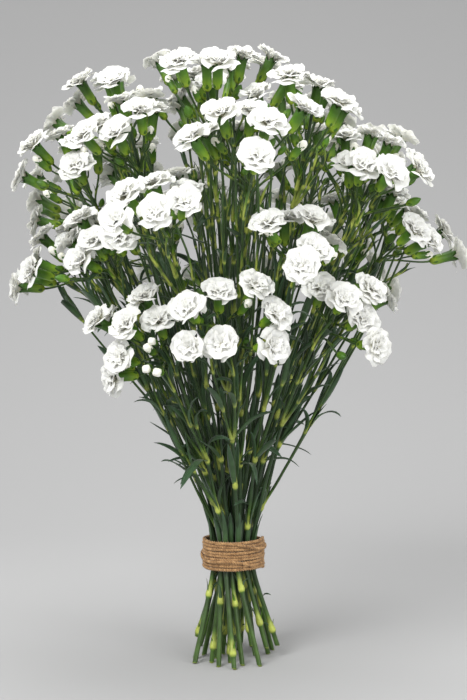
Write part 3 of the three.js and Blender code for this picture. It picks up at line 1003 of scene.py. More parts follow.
@dataclass(frozen=True)
class Petal:
    """One kind of petal: a fan on a narrow claw, with a toothed and ruffled rim, thin and closed.

    spread is half the fan's angle, ruffle and waves the height and number of its folds, arch how much it
    turns down on its way out, and cup how much its sides rise. claw is the share of the angle that the
    fan has at its foot, and rounding and unevenness shape its rim.
    """
    length: float
    spread: float
    ruffle: float
    waves: float
    arch: float
    cup: float
    seed: int
    columns: int = 10
    rows: tuple[float, ...] = (0.04, 0.36, 0.63, 0.85, 1.0)
    thickness: float = 0.28 * MM
    tooth: float = 0.035
    claw: float = 0.45
    rounding: float = 0.12
    unevenness: float = 0.03
    second_wave: float = 0.4

    def fold(self, aside: float, share: float, phases: list[float]) -> float:
        """How far the folds lift a spot of the petal.

        Args:
            aside: Where across the fan, -1 to 1.
            share: Where along it, 0 to 1.
            phases: Where the waves start.

        Returns:
            The lift.
        """
        wave = math.sin(math.pi * self.waves * aside + phases[0])
        wave += self.second_wave * math.sin(1.9 * math.pi * self.waves * aside + phases[1])
        return self.ruffle * wave * share ** 1.6

    def row_places(self, reach: float, height: float, share: float, phases: list[float],
                   notches: list[float]) -> list[tuple[float, Vector]]:
        """One row of the petal's upper face.

        Args:
            reach: How far out it is.
            height: How high it is.
            share: How far along the petal it is, 0 to 1.
            phases: Where the waves start.
            notches: How far each column stands out at the rim.

        Returns:
            Where across the fan each point is, -1 to 1, with its place.
        """
        row = []
        for column in range(self.columns + 1):
            aside = 2 * column / self.columns - 1
            angle = self.spread * aside * mix(self.claw, 1, share)
            rim = 1 - self.rounding * abs(aside) ** 3 + self.unevenness * math.sin(5 * aside + phases[2])
            if share == self.rows[-1]:
                rim += self.tooth * notches[column]
            out = reach * (rim if share > 0.5 else 1)
            lift = height + self.fold(aside, share, phases) + self.cup * aside ** 2 * share * self.length
            row.append((aside, Vector((out * math.cos(angle), out * math.sin(angle), lift))))
        return row

    def template(self, name: str) -> bpy.types.Object:
        """Builds the petal, with its claw at the origin, along +X, face up.

        Args:
            name: The shape's name.

        Returns:
            The shape, to be set out by rosettes.
        """
        chance = random.Random(self.seed)
        phases = [chance.uniform(0, FULL_TURN) for _ in range(3)]
        notches = [chance.uniform(-1, 1) for _ in range(self.columns + 1)]
        draft = Draft()
        top, under = [], []
        reach, height, before = 0.0, 0.0, 0.0
        for share in self.rows:
            slope = self.arch * (0.5 - 0.5 * (share + before))
            reach += (share - before) * self.length * math.cos(slope)
            height += (share - before) * self.length * math.sin(slope)
            before = share
            upper, lower = [], []
            for aside, place in self.row_places(reach, height, share, phases, notches):
                upper += draft.add_points([place], share, [aside])
                if abs(aside) == 1 or share in (self.rows[0], self.rows[-1]):
                    lower.append(upper[-1])
                else:
                    lower += draft.add_points([place - UP * self.thickness], share, [aside])
            top.append(upper)
            under.append(lower)
        for (near, far), (near_under, far_under) in zip(zip(top, top[1:]), zip(under, under[1:])):
            for k in range(self.columns):
                draft.add_faces([(near[k], far[k], far[k + 1], near[k + 1])])
                draft.add_faces([(near_under[k], near_under[k + 1], far_under[k + 1], far_under[k])])
        border = top[0] + [row[-1] for row in top[1:]] + top[-1][-2::-1] + [row[0] for row in top[-2:0:-1]]
        draft.creases = {tuple(sorted(pair)) for pair in zip(border, border[1:] + border[:1])}
        return draft.template(name)


@dataclass
class PetalWork:
    """The white of the sprays: rosettes of petals, and the furled white tips of opening buds."""
    variants: int = 8
    petals: int = 24
    outer_tilt: tuple[float, float] = (0.12, 0.5)
    inner_tilt: tuple[float, float] = (1.0, 1.25)
    inner_size: float = 0.72
    unevenness: float = 0.17
    tuft_sides: int = 16
    furl: float = 0.09
    white: bpy.types.Material = field(default_factory=PETAL_WHITE.material)

    def petal_shapes(self) -> dict[str, bpy.types.Object]:
        """Makes the kinds of petal.

        Returns:
            Their shapes by the names of the rosette's inputs, from the guard petals outside to the core.
        """
        kinds = {
            "Guard_petal": Petal(21.5 * MM, 0.66, 0.9 * MM, waves=1.1, arch=0.9, cup=0.02, seed=11),
            "Second_guard_petal": Petal(21.0 * MM, 0.62, 1.2 * MM, waves=1.4, arch=0.9, cup=0.0, seed=12),
            "Middle_petal": Petal(20.0 * MM, 0.6, 1.5 * MM, waves=1.6, arch=1.1, cup=0.03, seed=13),
            "Second_middle_petal": Petal(19.5 * MM, 0.56, 1.9 * MM, waves=1.8, arch=1.3, cup=0.05, seed=14),
            "Core_petal": Petal(19.0 * MM, 0.56, 2.3 * MM, waves=2.0, arch=1.4, cup=0.06, seed=15),
        }
        return {name: petal.template(name.lower()) for name, petal in kinds.items()}

    def tuft(self) -> bpy.types.Object:
        """Makes the furled petals of an opening bud, whose tip is the origin.

        Returns:
            The shape.
        """
        draft = Draft()
        profile = ((-6, 2.6), (-2, 3.7), (1, 4.3), (4, 4.2), (6.5, 3.2), (8, 1.7), (8.6, 0.5))
        angles = [FULL_TURN * k / self.tuft_sides for k in range(self.tuft_sides)]
        rings = []
        for height, radius in profile:
            folds = [1 + self.furl * math.cos(4 * angle + 0.25 * height) for angle in angles]
            rings.append([
                Vector((radius * fold * math.cos(angle), radius * fold * math.sin(angle), height)) * MM
                for angle, fold in zip(angles, folds)
            ])
        draft.add_tube(rings, [mix(0.3, 0.6, k / (len(rings) - 1)) for k in range(len(rings))])
        return draft.template("bud_tuft")

    def prepare(self) -> None:
        """Grows the variants of a rosette and wires the tree that sets them out."""
        tree = RosetteTree()
        shapes = self.petal_shapes()
        chance = random.Random(5)
        self.shapes = {}
        for number in range(self.variants):
            mesh = tree.grow(
                f"rosette_{number}", bpy.data.meshes.new("start"), **shapes, Petals=self.petals,
                Seed=100 * number, Outer_tilt=chance.uniform(*self.outer_tilt),
                Inner_tilt=chance.uniform(*self.inner_tilt), Inner_size=self.inner_size,
                Unevenness=self.unevenness, Finish=self.white)
            self.shapes[f"Rosette_{number + 1}"] = as_template(mesh)
        self.shapes["Bud_tuft"] = self.tuft()
        self.tree = SettingTree("blooms", [name.replace("_", " ") for name in self.shapes])

    def dress(self, plan: SprayPlan, opening: list[Head], seed: int) -> bpy.types.Object:
        """Sets out a spray's blooms.

        Args:
            plan: The places of the spray.
            opening: Those of its buds that are opening.
            seed: Tells its random draws from those of other sprays.

        Returns:
            The piece.
        """
        chance = random.Random(seed)
        places = Places()
        for bloom in plan.blooms:
            kind = chance.randrange(self.variants)
            places.add(bloom.tip, bloom.facing, chance.uniform(0, FULL_TURN), bloom.size, kind)
        for bud in opening:
            places.add(bud.tip, bud.facing, chance.uniform(0, FULL_TURN), bud.size, self.variants)
        name = f"petals_{plan.number}"
        mesh = self.tree.grow(name, places.mesh(name), **self.shapes, Seed=seed, Finish=self.white)
        return settle(name, mesh, "petals", f"blooms_{plan.number}")


def settle(name: str, mesh: bpy.types.Mesh, slot: str, *nodes: str) -> bpy.types.Object:
    """Makes a finished mesh a piece of the bunch.

    Args:
        name: The piece's name.
        mesh: Its mesh, in its place.
        slot: A material slot's name, which is not used.
        nodes: The frame's nodes that it stands for.

    Returns:
        The piece.
    """
    piece = bpy.data.objects.new(name, mesh)
    bpy.context.scene.collection.objects.link(piece)
    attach(piece, "root")
    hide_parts(*nodes)
    log.info("%s: %d faces", name, len(mesh.polygons))
    return piece


# ---------------------------------------------------------------- calyxes, buds and bracts

class Organ(Enum):
    """The small green shapes that are set out on a spray, by the number that their places carry."""
    CALYX = 0
    BUD = 1
    OPENING_BUD = 2
    BRACT = 3


@dataclass(frozen=True)
class CalyxShape:
    """The green tube under a bloom: ten fine ribs, and five pointed teeth round its mouth.

    profile is the heights and radii of its sections, tooth the height of its teeth and flare how far
    they lean out, cup the depth of its mouth, scale_length that of the scales at its foot, and girth its
    radius there. All are in millimetres.
    """
    profile: tuple[tuple[float, float], ...]
    tooth: float
    flare: float
    cup: float
    scale_length: float
    girth: float
    sides: int = 20
    ribs: float = 0.03

    def ring(self, height: float, radius: float) -> list[Vector]:
        """Makes one ribbed section of the tube.

        Args:
            height: Its height.
            radius: Its radius.

        Returns:
            Its points.
        """
        angles = [FULL_TURN * k / self.sides for k in range(self.sides)]
        radii = [radius * (1 + self.ribs * (-1) ** k) for k in range(self.sides)]
        return [Vector((r * math.cos(a), r * math.sin(a), height)) * MM for r, a in zip(radii, angles)]

    def teeth(self, height: float, radius: float) -> list[Vector]:
        """Makes the rim of the mouth, drawn out into five teeth.

        Args:
            height: The height between the teeth.
            radius: The radius there.

        Returns:
            Its points.
        """
        points = []
        for k in range(self.sides):
            rise = (0, 0.5, 1, 0.5)[k % 4]
            angle = FULL_TURN * k / self.sides
            out = radius + self.flare * rise
            top = height + self.tooth * rise
            points.append(Vector((out * math.cos(angle), out * math.sin(angle), top)) * MM)
        return points

    def scales(self, draft: Draft) -> None:
        """Adds the four small scales that clasp the foot of the tube.

        Args:
            draft: The draft that they are added to.
        """
        foot, _ = self.profile[0]
        blade = Blade(4.6 * MM, 0.4 * MM, 0.35, foot=0.6)
        for k in range(4):
            spin = Matrix.Rotation(FULL_TURN * k / 4 + 0.3, 3, "Z")
            heights = (foot - 0.5, foot + 1.5, foot + 0.6 * self.scale_length, foot + self.scale_length)
            outs = (1.2, 0.72 * self.girth, 1.04 * self.girth, 1.09 * self.girth)
            line = [spin @ (Vector((out, 0, height)) * MM) for out, height in zip(outs, heights)]
            blade.grow(draft, smooth_line(line, 2.5 * MM), spin @ Vector((0, 1, 0)))

    def template(self, name: str) -> bpy.types.Object:
        """Builds the calyx, with the middle of its mouth at the origin.

        Args:
            name: The shape's name.

        Returns:
            The shape, to be set out.
        """
        draft = Draft()
        rings = [self.ring(height, radius) for height, radius in self.profile]
        height, radius = self.profile[-1]
        rings.append(self.teeth(height + 0.3, radius))
        rings.append(self.ring(height - 0.4, 0.8 * radius))
        rings.append(self.ring(height - self.cup, 0.3 * radius))
        foot, _ = self.profile[0]
        growths = [0.85 * (level - foot) / (height - foot) for level, _ in self.profile] + [1.0, 0.8, 0.5]
        draft.add_tube(rings, growths)
        self.scales(draft)
        return draft.template(name)


@dataclass
class GreenWork:
    """The small green parts: calyxes, closed and opening buds, and the bracts at joints and forks."""
    bud_sides: int = 20
    green: bpy.types.Material = field(default_factory=SEPAL_GREEN.material)

    def bud(self) -> bpy.types.Object:
        """Makes a closed bud, with its foot at the origin, five shallow furrows and a pointed tip.

        Returns:
            The shape.
        """
        draft = Draft()
        profile = ((0, 1), (0.7, 2), (2.4, 3.3), (5.6, 4.1), (9, 3.9), (12, 2.8), (14.2, 1.3), (15.2, 0.3))
        furrows = [0.97 + 0.05 * (0, 0.7, 1, 0.7)[k % 4] for k in range(self.bud_sides)]
        angles = [FULL_TURN * k / self.bud_sides for k in range(self.bud_sides)]
        rings = []
        for height, radius in profile:
            outs = [radius * furrow for furrow in furrows]
            rings.append([
                Vector((out * math.cos(angle), out * math.sin(angle), height)) * MM
                for out, angle in zip(outs, angles)
            ])
        draft.add_tube(rings, [k / (len(rings) - 1) for k in range(len(rings))])
        CalyxShape(((0, 1), (1, 2)), tooth=0, flare=0, cup=0, scale_length=6.5, girth=4.0).scales(draft)
        return draft.template("bud")

    def bract(self) -> bpy.types.Object:
        """Makes a small pointed leaf that clasps a joint and leans away from the stem above.

        Returns:
            The shape.
        """
        draft = Draft()
        places = ((0.4, 0, -0.5), (1.5, 0, 1), (2.6, 0, 5), (4.2, 0, 9), (6.6, 0, 12.5))
        line = smooth_line([Vector(place) * MM for place in places], 2 * MM)
        Blade(2.6 * MM, 0.35 * MM, 0.4, widest=0.15, foot=0.8).grow(draft, line, Vector((0, 1, 0)))
        return draft.template("bract")

    def prepare(self) -> None:
        """Makes the shapes and wires the tree that sets them out."""
        calyx = CalyxShape(
            ((-22, 1.2), (-21.6, 2.6), (-20.4, 3.8), (-18, 4.6), (-13, 4.8), (-8, 4.8), (-3, 5.0), (0, 5.3)),
            tooth=6.4, flare=1.9, cup=3.0, scale_length=7.0, girth=4.7)
        opening = CalyxShape(
            ((-15, 1.0), (-14.6, 2.3), (-13, 3.5), (-9, 4.0), (-4, 4.1), (0, 4.1)),
            tooth=4.2, flare=0.6, cup=3.0, scale_length=5.5, girth=4.0)
        self.shapes = {
            "Calyx": calyx.template("calyx"),
            "Bud": self.bud(),
            "Opening_bud": opening.template("opening_bud"),
            "Bract": self.bract(),
        }
        self.tree = SettingTree("greens", [name.replace("_", " ") for name in self.shapes])

    def dress(self, plan: SprayPlan, opening: list[Head], bracts: Places, seed: int) -> bpy.types.Object:
        """Sets out a spray's calyxes, buds and bracts.

        Args:
            plan: The places of the spray.
            opening: Those of its buds that are opening.
            bracts: The places of its bracts, to which the others are added.
            seed: Tells its random draws from those of other sprays.

        Returns:
            The piece.
        """
        chance = random.Random(seed)
        for bloom in plan.blooms:
            bracts.add(bloom.tip, bloom.facing, chance.uniform(0, FULL_TURN), bloom.size, Organ.CALYX.value)
        for bud in plan.buds:
            kind, place = (Organ.OPENING_BUD, bud.tip) if bud in opening else (Organ.BUD, bud.base)
            bracts.add(place, bud.facing, chance.uniform(0, FULL_TURN), bud.size, kind.value)
        name = f"calyxes_{plan.number}"
        mesh = self.tree.grow(name, bracts.mesh(name), **self.shapes, Seed=seed, Finish=self.green)
        return settle(name, mesh, "stems", f"stem_{plan.number}")


# ---------------------------------------------------------------- stems and leaves

@dataclass(frozen=True)
class Rise:
    """A soft rise: its height, and how far it reaches to either side."""
    height: float
    width: float

    def at(self, distance: float) -> float:
        """How high it is at this distance from its middle."""
        return self.height * bell(distance, self.width)


@dataclass
class StemWork:
    """The stems of the sprays, with their swollen joints, side stalks, side shoots and leaves.

    foot, tie, fork, stalk and twig are radii, from the cut end of a stem to the stalk of a side bud. A
    share is how often something is there. leaf_zone is the heights between which long leaves may grow.
    Every other pair of numbers is the least and the most of something that is drawn by chance, and the
    lengths among them are in millimetres.
    """
    foot: float = 2.6 * MM
    tie: float = 2.2 * MM
    fork: float = 1.5 * MM
    stalk: float = 1.1 * MM
    twig: float = 0.85 * MM
    cut_slant: float = 0.8 * MM
    cut_growth: float = 0.8
    half_joint: Span = (0.42, 0.58)
    low_joint: Span = (0.05, 0.85)
    over_tie_joint: Span = (0.03, 0.6)
    over_tie_share: float = 0.6
    joint_swell: float = 0.55
    joint_width: float = 2.2 * MM
    joint_fade: float = 7 * MM
    sheath: float = 16 * MM
    # The stems are drawn paler towards their cut ends, most at the floor and hardly at all by the tie.
    pale_foot: Rise = Rise(0.24, 0.6)
    tie_fill: float = 0.95
    tie_width: float = 14 * MM
    thinning: float = 1.4
    bow: float = 1.8 * MM
    spacing: float = 2 * MM
    sides: int = 8
    stalk_sides: int = 6
    stalk_steps: int = 14
    stalk_joint: Rise = Rise(0.35, 0.05)
    stalk_end: Rise = Rise(0.3, 0.08)
    stalk_pale: Rise = Rise(0.6, 0.06)
    stalk_growth: float = 0.15
    shoot_share: float = 0.6
    shoot_gap: Span = (3, 10)
    shoot_swing: Span = (-1.3, 1.3)
    shoot_joints: tuple[Span, Span] = ((0.3, 0.45), (0.65, 0.8))
    bud_share: float = 0.75
    bud_length: float = 15 * MM
    bud_size: Span = (0.7, 1.05)
    twig_length: Span = (9, 22)
    droop_share: float = 0.35
    droop: Span = (0.9, 2.4)
    lean: Span = (0.1, 0.7)
    leaf_steps: int = 9
    leaf_sway: Span = (-3, 3)
    leaf_wave: float = 1.2 * MM
    leaf_zone: Span = (0.125, 0.4)
    long_leaf: Span = (26, 58)
    short_leaf: Span = (8, 26)
    least_leaf: float = 14 * MM
    tie_leaf_length: Span = (30, 56)
    outer_stem: float = 12 * MM
    leaf: Blade = Blade(8.4 * MM, 0.7 * MM, 0.28, widest=0.42, foot=0.4, tip=1.5)
    joint_leaf: Blade = Blade(7.4 * MM, 0.6 * MM, 0.3, widest=0.38, foot=0.5, tip=1.5)
    small_leaf: Blade = Blade(3.8 * MM, 0.5 * MM, 0.35, widest=0.2, foot=0.7)
    bark: bpy.types.Material = field(default_factory=STEM_GREEN.material)
    blade: bpy.types.Material = field(default_factory=LEAF_GREEN.material)

    def joints_of(self, plan: SprayPlan, chance: random.Random) -> list[Vector]:
        """Where a stem has its joints: those of the frame, one between each two, and some near the foot.

        Args:
            plan: The places of the spray.
            chance: The spray's random draws.

        Returns:
            The middles of the joints.
        """
        above = [plan.above_tie, *plan.knuckles, plan.crown[0]]
        pairs = zip(above[1:], above[2:])
        halves = [one.lerp(other, chance.uniform(*self.half_joint)) for one, other in pairs]
        low = plan.middles[0].lerp(plan.middles[1], chance.uniform(*self.low_joint))
        over_tie = above[0].lerp(above[1], chance.uniform(*self.over_tie_joint))
        lowest = [low, over_tie] if chance.random() < self.over_tie_share else [low]
        return lowest + plan.knuckles + halves + [plan.crown[0]]

    def joints_at(self, point: Vector, joints: list[Vector]) -> tuple[float, float]:
        """How swollen and how pale its joints make a stem.

        Args:
            point: A point of the stem's middle line.
            joints: The middles of the joints.

        Returns:
            Both values there, 0 to 1.
        """
        swells, sheaths = [], []
        for joint in joints:
            offset = (point - joint).z
            below = bell(min(0, offset), self.joint_width)
            swells.append(below * bell(max(0, offset), self.joint_fade))
            sheaths.append(below * bell(max(0, offset), self.sheath))
        return max(swells), max(sheaths)

    def stem_line(self, plan: SprayPlan, chance: random.Random) -> list[Vector]:
        """The middle line of the main stem, a little bowed between its joints.

        Args:
            plan: The places of the spray.
            chance: The spray's random draws.

        Returns:
            Its points, from the cut end to the calyx of the topmost bloom.
        """
        reached = [plan.above_tie, *plan.knuckles, plan.crown[0]]
        points = list(plan.middles[:TIE_RING + 1])
        for one, other in zip(reached, reached[1:]):
            aside = Vector((chance.uniform(-1, 1), chance.uniform(-1, 1), 0)) * self.bow
            points += [one, one.lerp(other, 0.5) + aside]
        points += [plan.crown[0], plan.crown[-1], plan.blooms[0].base]
        return smooth_line(points, self.spacing)

    def stem_radius(self, plan: SprayPlan, height: float, top: float) -> float:
        """The radius of the main stem between its joints, which fills the tie.

        Args:
            plan: The places of the spray.
            height: How high on the stem.
            top: The height of the stem's top.

        Returns:
            The radius.
        """
        tie = plan.at_tie.z
        if height < tie:
            radius = mix(self.foot, self.tie, height / tie)
        else:
            radius = mix(self.tie, self.fork, min(1, self.thinning * (height - tie) / (top - tie)))
        return radius + (self.tie_fill * plan.tie_radius - self.tie) * bell(height - tie, self.tie_width)

    def stem(self, draft: Draft, plan: SprayPlan, joints: list[Vector], chance: random.Random) -> None:
        """Adds the main stem, whose foot is cut at a slant.

        Args:
            draft: The draft of the spray's stems.
            plan: The places of the spray.
            joints: The middles of the stem's joints.
            chance: The spray's random draws.
        """
        line = self.stem_line(plan, chance)
        radii, growths = [], []
        for point in line:
            swell, sheath = self.joints_at(point, joints)
            radii.append(self.stem_radius(plan, point.z, line[-1].z) * (1 + self.joint_swell * swell))
            growths.append(max(sheath, self.pale_foot.at(point.z / plan.at_tie.z)))
        rings = tube_rings(line, radii, self.sides)
        slant = chance.uniform(0, FULL_TURN)
        for k, point in enumerate(rings[0]):
            point.z = line[0].z + self.cut_slant * (1 + math.cos(FULL_TURN * k / self.sides - slant))
        growths[0] = self.cut_growth
        draft.add_tube(rings, growths)

    def stalk_to(self, draft: Draft, head: Head, axis: Vector, bracts: Places,
                 chance: random.Random) -> list[Head]:
        """Adds the side stalk of one bloom or bud.

        Args:
            draft: The draft of the spray's stems.
            head: The bloom or bud.
            axis: Which way the crown of the stem points.
            bracts: The places of the bracts, to which those of the stalk are added.
            chance: The spray's random draws.

        Returns:
            The place of the small bud beside it, if it has one.
        """
        reach = (head.base - head.root).length
        start = head.root + axis * (0.3 * reach)
        end = head.base - head.facing * (0.3 * reach)
        line = interpolate_bezier(
            head.root - axis * MM, start, end, head.base + head.facing * MM, self.stalk_steps)
        joint = chance.uniform(0.4, 0.6)
        radii, growths = [], []
        for k in range(len(line)):
            share = k / (len(line) - 1)
            ends = self.stalk_end.at(share - 1) + self.stalk_end.at(share)
            radii.append(self.stalk * (1 + self.stalk_joint.at(share - joint) + ends))
            pale = max(self.stalk_pale.at(share - joint), self.stalk_pale.at(share))
            growths.append(self.stalk_growth + pale)
        draft.add_tube(tube_rings(line, radii, self.stalk_sides), growths)
        at = line[round(joint * (len(line) - 1))]
        ahead = (head.base - head.root).normalized()
        turn = chance.uniform(0, FULL_TURN)
        for half in range(2):
            bracts.add(at, ahead, turn + math.pi * half, chance.uniform(0.45, 0.8), Organ.BRACT.value)
        spin = chance.uniform(0, FULL_TURN)
        bracts.add(head.root, axis, spin, chance.uniform(0.6, 1.1), Organ.BRACT.value)
        if chance.random() < self.bud_share:
            return [self.side_bud(draft, at, ahead, chance)]
        return []

    def side_bud(self, draft: Draft, at: Vector, ahead: Vector, chance: random.Random) -> Head:
        """Adds the short stalk of a side bud, in the fork of a bract.

        Args:
            draft: The draft of the spray's stems.
            at: Where it leaves the bloom's stalk.
            ahead: Which way the bloom's stalk goes.
            chance: The spray's random draws.

        Returns:
            The bud's place.
        """
        outward = Vector((chance.uniform(-1, 1), chance.uniform(-1, 1), chance.uniform(-0.3, 0.5)))
        outward = (outward - ahead * outward.dot(ahead)).normalized()
        length = chance.uniform(*self.twig_length) * MM
        base = at + ahead * length + outward * (0.5 * length)
        pull = 0.35 * length
        line = interpolate_bezier(at, at + outward * pull, base - ahead * pull, base, self.stalk_steps // 2)
        growths = [0.1] * len(line)
        draft.add_tube(tube_rings(line, [self.twig] * len(line), self.stalk_sides), growths)
        size = chance.uniform(*self.bud_size)
        return Head(at, base, base + ahead * (self.bud_length * size), ahead, size)

    def shoot_to(self, draft: Draft, head: Head, start: Vector, bracts: Places,
                 chance: random.Random) -> None:
        """Adds a side shoot that grows up beside the main stem.

        Args:
            draft: The draft of the spray's stems.
            head: The bloom or bud whose stalk it reaches.
            start: The joint of the main stem that it grows from.
            bracts: The places of the bracts, to which those of the shoot are added.
            chance: The spray's random draws.
        """
        end = head.root.lerp(head.base, 0.6)
        rise = end - start
        outward = (head.base - start).cross(UP).cross(UP) * -1
        swing = Quaternion(UP, chance.uniform(*self.shoot_swing)) @ outward.normalized()
        aside = swing * (chance.uniform(*self.shoot_gap) * MM)
        points = [start]
        points += [start + rise * share + aside * out for share, out in ((0.12, 0.5), (0.5, 1), (0.82, 1))]
        line = smooth_line(points + [end], 2 * self.spacing)
        last = len(line) - 1
        joints = [line[round(chance.uniform(*share) * last)] for share in self.shoot_joints]
        radii, growths = [], []
        for k, point in enumerate(line):
            swell, sheath = self.joints_at(point, joints + [start])
            radii.append(mix(self.fork, self.stalk, k / last) * (1 + self.joint_swell * swell))
            growths.append(max(0.1, 0.9 * sheath))
        draft.add_tube(tube_rings(line, radii, self.stalk_sides), growths)
        for joint in joints:
            self.joint_leaves(draft, joint, rise.normalized(), bracts, chance)

    def leaf_on(self, draft: Draft, leaf: LeafPlan, chance: random.Random) -> None:
        """Adds one long leaf, a little waved and curled.

        Args:
            draft: The draft of the spray's stems.
            leaf: The place of the leaf.
            chance: The spray's random draws.
        """
        sway = chance.uniform(*self.leaf_sway) * MM
        phase = chance.uniform(0, FULL_TURN)
        line = []
        for k, point in enumerate(leaf.line):
            share = k / (len(leaf.line) - 1)
            lift = self.leaf_wave * math.sin(2.2 * math.pi * share + phase) * share
            line.append(point + leaf.side * (sway * math.sin(math.pi * share)) + UP * lift)
        self.leaf.grow(draft, line, leaf.side, 1, chance.uniform(-0.9, 0.9))

    def bent_leaf(self, draft: Draft, blade: Blade, foot: Vector, ahead: Vector, outward: Vector,
                  length: float, bend: float, curl: float) -> None:
        """Adds a leaf that leaves its stem along it and bends outwards.

        Args:
            draft: The draft of the spray's stems.
            blade: Its shape.
            foot: Where it starts.
            ahead: Which way the stem goes.
            outward: Which way the leaf bends.
            length: How long it is.
            bend: How far it has turned away from the stem at its tip, in radians.
            curl: How far it turns about its own line.
        """
        line = [foot]
        for k in range(self.leaf_steps):
            angle = mix(0.12, bend, ((k + 0.5) / self.leaf_steps) ** 1.5)
            step = ahead * math.cos(angle) + outward * math.sin(angle)
            line.append(line[-1] + step * (length / self.leaf_steps))
        blade.grow(draft, line, ahead.cross(outward), 1, curl)

    def tie_leaf(self, draft: Draft, plan: SprayPlan, chance: random.Random) -> None:
        """Adds an upright leaf that comes out of the tie, between the twine and an outer stem.

        Args:
            draft: The draft of the spray's stems.
            plan: The places of the spray.
            chance: The spray's random draws.
        """
        outward = Vector((plan.at_tie.x, plan.at_tie.y, 0))
        if outward.length < self.outer_stem:
            return
        outward.normalize()
        foot = plan.at_tie.lerp(plan.above_tie, 0.4) + outward * self.tie
        ahead = (plan.above_tie - plan.at_tie).normalized()
        length = chance.uniform(*self.tie_leaf_length) * MM
        bend, curl = chance.uniform(0.1, 0.6), chance.uniform(-0.5, 0.5)
        self.bent_leaf(draft, self.joint_leaf, foot, ahead, outward, length, bend, curl)

    def joint_leaves(self, draft: Draft, joint: Vector, ahead: Vector, bracts: Places,
                     chance: random.Random) -> None:
        """Adds the pair of leaves that clasp a joint: long ones low on the stems, and bracts in the heads.

        Args:
            draft: The draft of the spray's stems.
            joint: The middle of the joint.
            ahead: Which way the stem goes from there.
            bracts: The places of the bracts, to which the pair's may be added.
            chance: The spray's random draws.
        """
        turn = chance.uniform(0, FULL_TURN)
        low, high = self.leaf_zone
        is_long = low < joint.z < high and joint.z < mix(low, high, chance.uniform(0.4, 1.5))
        for half in range(2):
            outward = Vector((math.cos(turn + math.pi * half), math.sin(turn + math.pi * half), 0))
            outward = (outward - ahead * outward.dot(ahead)).normalized()
            length = chance.uniform(*(self.long_leaf if is_long else self.short_leaf)) * MM
            if length < self.least_leaf:
                bracts.add(joint, ahead, turn + math.pi * half, chance.uniform(0.9, 1.4), Organ.BRACT.value)
                continue
            blade = self.joint_leaf if is_long else self.small_leaf
            is_drooping = chance.random() < self.droop_share
            bend = chance.uniform(*(self.droop if is_drooping else self.lean))
            foot = joint + outward * (1.4 * MM)
            self.bent_leaf(draft, blade, foot, ahead, outward, length, bend, chance.uniform(-0.8, 0.8))

    def dress(self, plan: SprayPlan, seed: int) -> Places:
        """Builds a spray's stem piece.

        Args:
            plan: The places of the spray.
            seed: Tells its random draws from those of other sprays.

        Returns:
            The places of the bracts along it.
        """
        chance = random.Random(seed)
        draft = Draft()
        bracts = Places()
        joints = self.joints_of(plan, chance)
        self.stem(draft, plan, joints, chance)
        axis = (plan.crown[-1] - plan.crown[0]).normalized()
        for head in plan.blooms[1:] + plan.buds:
            plan.buds += self.stalk_to(draft, head, axis, bracts, chance)
            if chance.random() < self.shoot_share:
                self.shoot_to(draft, head, chance.choice(joints[1:-1]), bracts, chance)
        for leaf in plan.leaves:
            self.leaf_on(draft, leaf, chance)
        self.tie_leaf(draft, plan, chance)
        line = [*plan.middles, *plan.knuckles, *plan.crown]
        for joint in joints:
            above = next((point for point in line if point.z > joint.z + MM), plan.blooms[0].base)
            ahead = (above - joint).normalized()
            self.joint_leaves(draft, joint, ahead, bracts, chance)
        name = f"stalks_{plan.number}"
        settle(name, draft.mesh(name, self.bark, self.blade), "stems", f"stem_{plan.number}")
        return bracts


# ---------------------------------------------------------------- the twine

